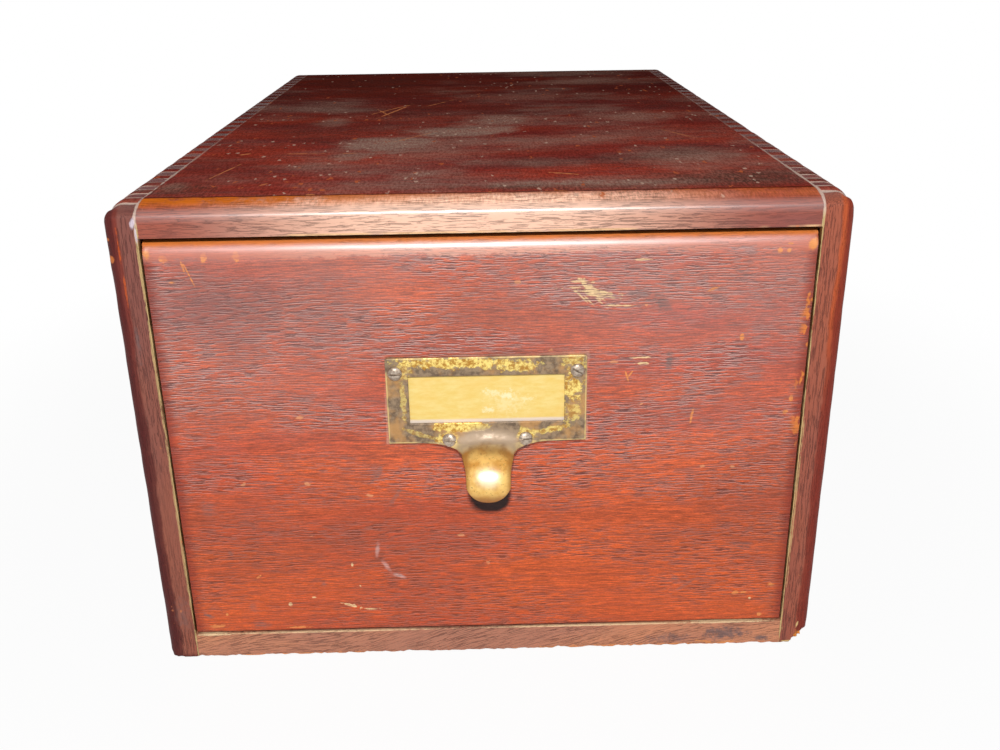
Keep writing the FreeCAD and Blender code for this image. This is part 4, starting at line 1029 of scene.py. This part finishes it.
def shapeHolder(x, y, z):
    # x from the middle of the plate, y the share of the sheet's thickness, z up
    h = holder
    if z < h["low"]:
        # the tongue: round tip, wider where it leaves the plate
        inSide, foot = rollOff(h["halfTongue"] - abs(x), z - pullLow, h["halfTongue"], h["tipFall"])
        x, z = (1 if x > 0 else -1) * (h["halfTongue"] - inSide), pullLow + foot
        outside = 0.0
        z -= h["dip"] * max(0.0, 1 - (h["low"] - z) / 16.0) ** 2
    else:
        # the lower edge of the plate sweeps down into the tongue
        outside = max(0.0, abs(x) - h["halfTongue"])
        z -= h["dip"] * math.exp(-outside / h["dipReach"]) * max(0.0, 1 - (z - h["low"]) / 7.6)
    spread = h["neckFillet"] * math.exp(-abs(h["low"] - h["dip"] - z) / 1.4) * math.exp(-outside / 2.0)
    x += math.copysign(spread * min(1.0, abs(x) / h["halfTongue"]), x)
    depth, angle = pullProfile(max(z, h["low"] - 30.0 * math.exp(-outside / 0.5)) if outside > 0 else z)
    share = easeStep((h["low"] - z) / 5.0) * math.exp(-(outside / 0.8) ** 2)
    swell = max(0.0, 1 - (x / h["bell"]) ** 2) ** 2
    flatDepth = h["thick"] + (depth - h["thick"]) * swell
    sag = h["crown"] * (0.45 * (x / 8.85) ** 2 + 0.55 * (x / 8.85) ** 4)
    outDepth = flatDepth * (1 - share) + (depth - sag * math.cos(angle)) * share
    outZ = z * (1 - share) + (z - sag * math.sin(angle)) * share
    # how thick the sheet is here, laid off square to its face
    bulge = easeStep(flatDepth - h["thick"]) if z >= h["low"] - 0.01 else 1.0
    back = (1 - y) * (h["thick"] * (1 - bulge) + h["sheet"] * bulge)
    tilt = angle * (swell * (1 - share) + share)
    return x + h["shift"], case["frontY"] - (outDepth - back * math.cos(tilt)), outZ - back * math.sin(tilt)


def holderIsSheet(x, y, z):
    h = holder
    if z < h["low"]:
        return abs(x) < h["halfTongue"]
    if abs(x) < h["halfWindow"] and h["windowLow"] < z < h["windowHigh"]:
        return False
    return not (y < h["pocketShare"] and abs(x) < h["halfPocket"] and z > h["pocketLow"])


def cornerRound(x, y, z):
    h = holder
    if z <= h["low"]:
        return x, y, z
    side = 1 if x > 0 else -1
    inSide, up = rollOff(h["halfPlate"] - abs(x), h["high"] - z, h["corner"])
    if z - h["low"] < 5:
        inSide, down = rollOff(inSide, z - h["low"], h["corner"])
        return side * (h["halfPlate"] - inSide), y, h["low"] + down
    return side * (h["halfPlate"] - inSide), y, h["high"] - up


at = lambda *places: [(place, place, 1) for place in places]
half, low, high, tongue = holder["halfPlate"], holder["low"], holder["high"], holder["halfTongue"]
window, pocket = holder["halfWindow"], holder["halfPocket"]
holderX = planes(-half, half, 1.6, (-half, -half + 1, 3), (half - 1, half, 3), (-tongue, tongue, 20),
                 *at(-window, window, -pocket, pocket))
plateZ = planes(low, high, 1.6, (low, low + 7.6, 9), (high - 1, high, 3),
                *at(holder["pocketLow"], holder["windowLow"], holder["windowHigh"]))
tongueZ = [round(pullLow + (low - pullLow) * n / 26, 4) for n in range(27)]
holderY, holderZ = [0.0, holder["pocketShare"], 1.0], sorted(set(tongueZ + plateZ))
corners, faces = cellSkin(holderX, holderY, holderZ, holderIsSheet)
holderPiece = newPiece("label_holder", [shapeHolder(*cornerRound(*corner)) for corner in corners], faces,
                       "drawer", holderBrass, sharp=60)
rims = holderPiece.modifiers.new("softRims", "BEVEL")
rims.width = 0.28 * mm
rims.segments = 3
rims.limit_method = "ANGLE"
rims.angle_limit = math.radians(50)
print("label holder built")

screw = dict(radius=2.5, rise=1.05, skirt=0.45, halfSlot=0.3, slotDepth=0.85, slotFloor=0.15, columns=18)


def domeScrew(middle, twist, tilt):
    # a domed head laid out in rows along its slot, with real slot walls
    s = screw
    rows = [-s["radius"] * math.cos(math.pi / 2 * n / 7) for n in range(7)]
    half, columns = s["halfSlot"], s["columns"]
    rows = rows + [-half, -half, half, half] + [-row for row in reversed(rows)]
    corners, faces = [], []
    turn = Matrix.Rotation(math.radians(tilt[0]), 3, "Z") @ Matrix.Rotation(math.radians(tilt[1]), 3, "X") \
        @ Matrix.Rotation(math.radians(twist), 3, "Y")
    middle = Vector(middle)

    def dome(u, v):
        share = min(1.0, (u * u + v * v) / (s["radius"] * s["radius"]))
        return s["skirt"] + s["rise"] * math.sqrt(max(0.0, 1 - share)) ** 1.15

    for row, v in enumerate(rows):
        halfRow = math.sqrt(max(0.0, s["radius"] * s["radius"] - v * v))
        for n in range(columns + 1):
            u = -halfRow * math.cos(math.pi * n / columns)
            height = dome(u, v)
            if row in (8, 9):
                floor = s["skirt"] + s["rise"] - s["slotDepth"] - 0.06 * u * u
                height = min(max(s["slotFloor"], floor), height)
            corners.append(turn @ Vector((u, -height, v)) + middle)
    lastRow, width = len(rows) - 1, columns + 1
    for row in range(lastRow):
        for n in range(columns):
            a, b = row * width + n, (row + 1) * width + n
            faces.append([a, a + 1, b + 1, b])
    # skirt down to the plate
    rim = [row * width for row in range(lastRow + 1)] + [lastRow * width + n for n in range(1, width)]
    rim += [row * width + columns for row in range(lastRow - 1, -1, -1)] + list(range(columns - 1, 0, -1))
    first, count = len(corners), len(rim)
    for index in rim:
        local = turn.inverted() @ (corners[index] - middle)
        corners.append(turn @ Vector((local.x, 0.35, local.z)) + middle)
    for n in range(count):
        faces.append([rim[n], rim[(n + 1) % count], first + (n + 1) % count, first + n])
    faces.append([first + n for n in range(count)])
    return corners, faces


screwCorners, screwFaces = [], []
for x, y, z, twist, tilt in ((-31.9, plateFront, 119.0, 0, (0, 0)), (31.9, plateFront, 119.0, 30, (0, 0)),
                             (-13.6, -195.9, 93.3, 8, (-9, -10)), (13.6, -195.9, 93.3, 0, (9, -10))):
    corners, faces = domeScrew((x + holder["shift"], y, z), twist, tilt)
    screwFaces += [[index + len(screwCorners) for index in face] for face in faces]
    screwCorners += corners
newPiece("holder_screws", screwCorners, screwFaces, "drawer", screwSteel, sharp=35)
print("holder screws built")

# the card, bowed a little in its pocket
card = dict(left=-27.8, right=29.0, bow=0.07)
left, right = card["left"], card["right"]
corners, faces = cellSkin(planes(left, right, 1.5), [-194.225, -193.825], planes(98.45, 120.45, 1.5),
                          lambda x, y, z: True)
bowed = []
for x, y, z in corners:
    bow = math.sin(math.pi * (x - left) / (right - left)) * (0.6 + 0.4 * ripple(x, 0, z, 14))
    bowed.append((x, y - card["bow"] * bow, z))
newPiece("label_card", bowed, faces, "card", cardFinish, sharp=30)
print("label card built")


def seenAs(tree, plain, white, amount):
    # plain to the light, white to the eye, to reflections and through glass
    rays = addNode(tree, "LightPath", {}).socket.node.outputs
    seen = highest(*[Value(rays[f"Is {kind} Ray"]) for kind in ("Camera", "Glossy", "Transmission")])
    return addNode(tree, "MixShader", {0: seen * amount, 1: plain, 2: white})


def stageFloor():
    material = bpy.data.materials.new("paleFloor")
    material.use_nodes = True
    tree = material.node_tree
    tree.nodes.clear()
    place = addNode(tree, "TexCoord", {}, "Object")
    matt = addNode(tree, "BsdfDiffuse", {"Color": (0.95, 0.95, 0.95, 1)})
    glow = addNode(tree, "Emission", {"Color": (1, 1, 1, 1), "Strength": 1.0})
    # white as far as the eye goes, with the object's own shadow close by
    away = vectorMaths("LENGTH", vectorMaths("MULTIPLY", place, (1, 0.8, 0)))
    addNode(tree, "OutputMaterial", {0: seenAs(tree, matt, glow, step(away, 0.2, 0.42, 0.93, 1.0))})
    mesh = bpy.data.meshes.new("paleFloor")
    mesh.from_pydata([(-4, -3, -0.00005), (4, -3, -0.00005), (4, 5, -0.00005), (-4, 5, -0.00005)], [],
                     [[0, 1, 2, 3]])
    mesh.materials.append(material)
    floor = bpy.data.objects.new("paleFloor", mesh)
    bpy.context.scene.collection.objects.link(floor)


stageFloor()
lighting = dict(place=(-0.01, -1.0, 0.76), target=(0, -0.15, 0.09), power=8.6, size=0.07, room=0.19)
lampData = bpy.data.lights.new("keyLamp", "AREA")
lampData.shape = "RECTANGLE"
lampData.size, lampData.size_y = lighting["size"], lighting["size"]
lampData.energy = lighting["power"]
lamp = bpy.data.objects.new("keyLamp", lampData)
bpy.context.scene.collection.objects.link(lamp)
lamp.location = lighting["place"]
lamp.rotation_euler = (Vector(lighting["target"]) - lamp.location).to_track_quat("-Z", "Y").to_euler()

world = bpy.data.worlds.new("room")
bpy.context.scene.world = world
world.use_nodes = True
world.node_tree.nodes.clear()
plain, white = [addNode(world.node_tree, "Background", {"Color": (1, 1, 1, 1), "Strength": strength})
                for strength in (lighting["room"], 1.0)]
addNode(world.node_tree, "OutputWorld", {0: seenAs(world.node_tree, plain, white, 1.0)})

view = dict(place=(-0.45763, -532.76495, 255.49074), turn=(67.78928, 0.742072, -1.293494), lens=37.5373,
            sensor=36.0)
cameraData = bpy.data.cameras.new("camera")
cameraData.lens = view["lens"]
cameraData.sensor_width = view["sensor"]
cameraData.clip_start = 0.01
camera = bpy.data.objects.new("camera", cameraData)
camera.location = [c * mm for c in view["place"]]
camera.rotation_euler = Euler([math.radians(angle) for angle in view["turn"]], "XYZ")
bpy.context.scene.collection.objects.link(camera)
bpy.context.scene.camera = camera
bpy.context.scene.view_settings.view_transform = "Standard"

print("scene ready")
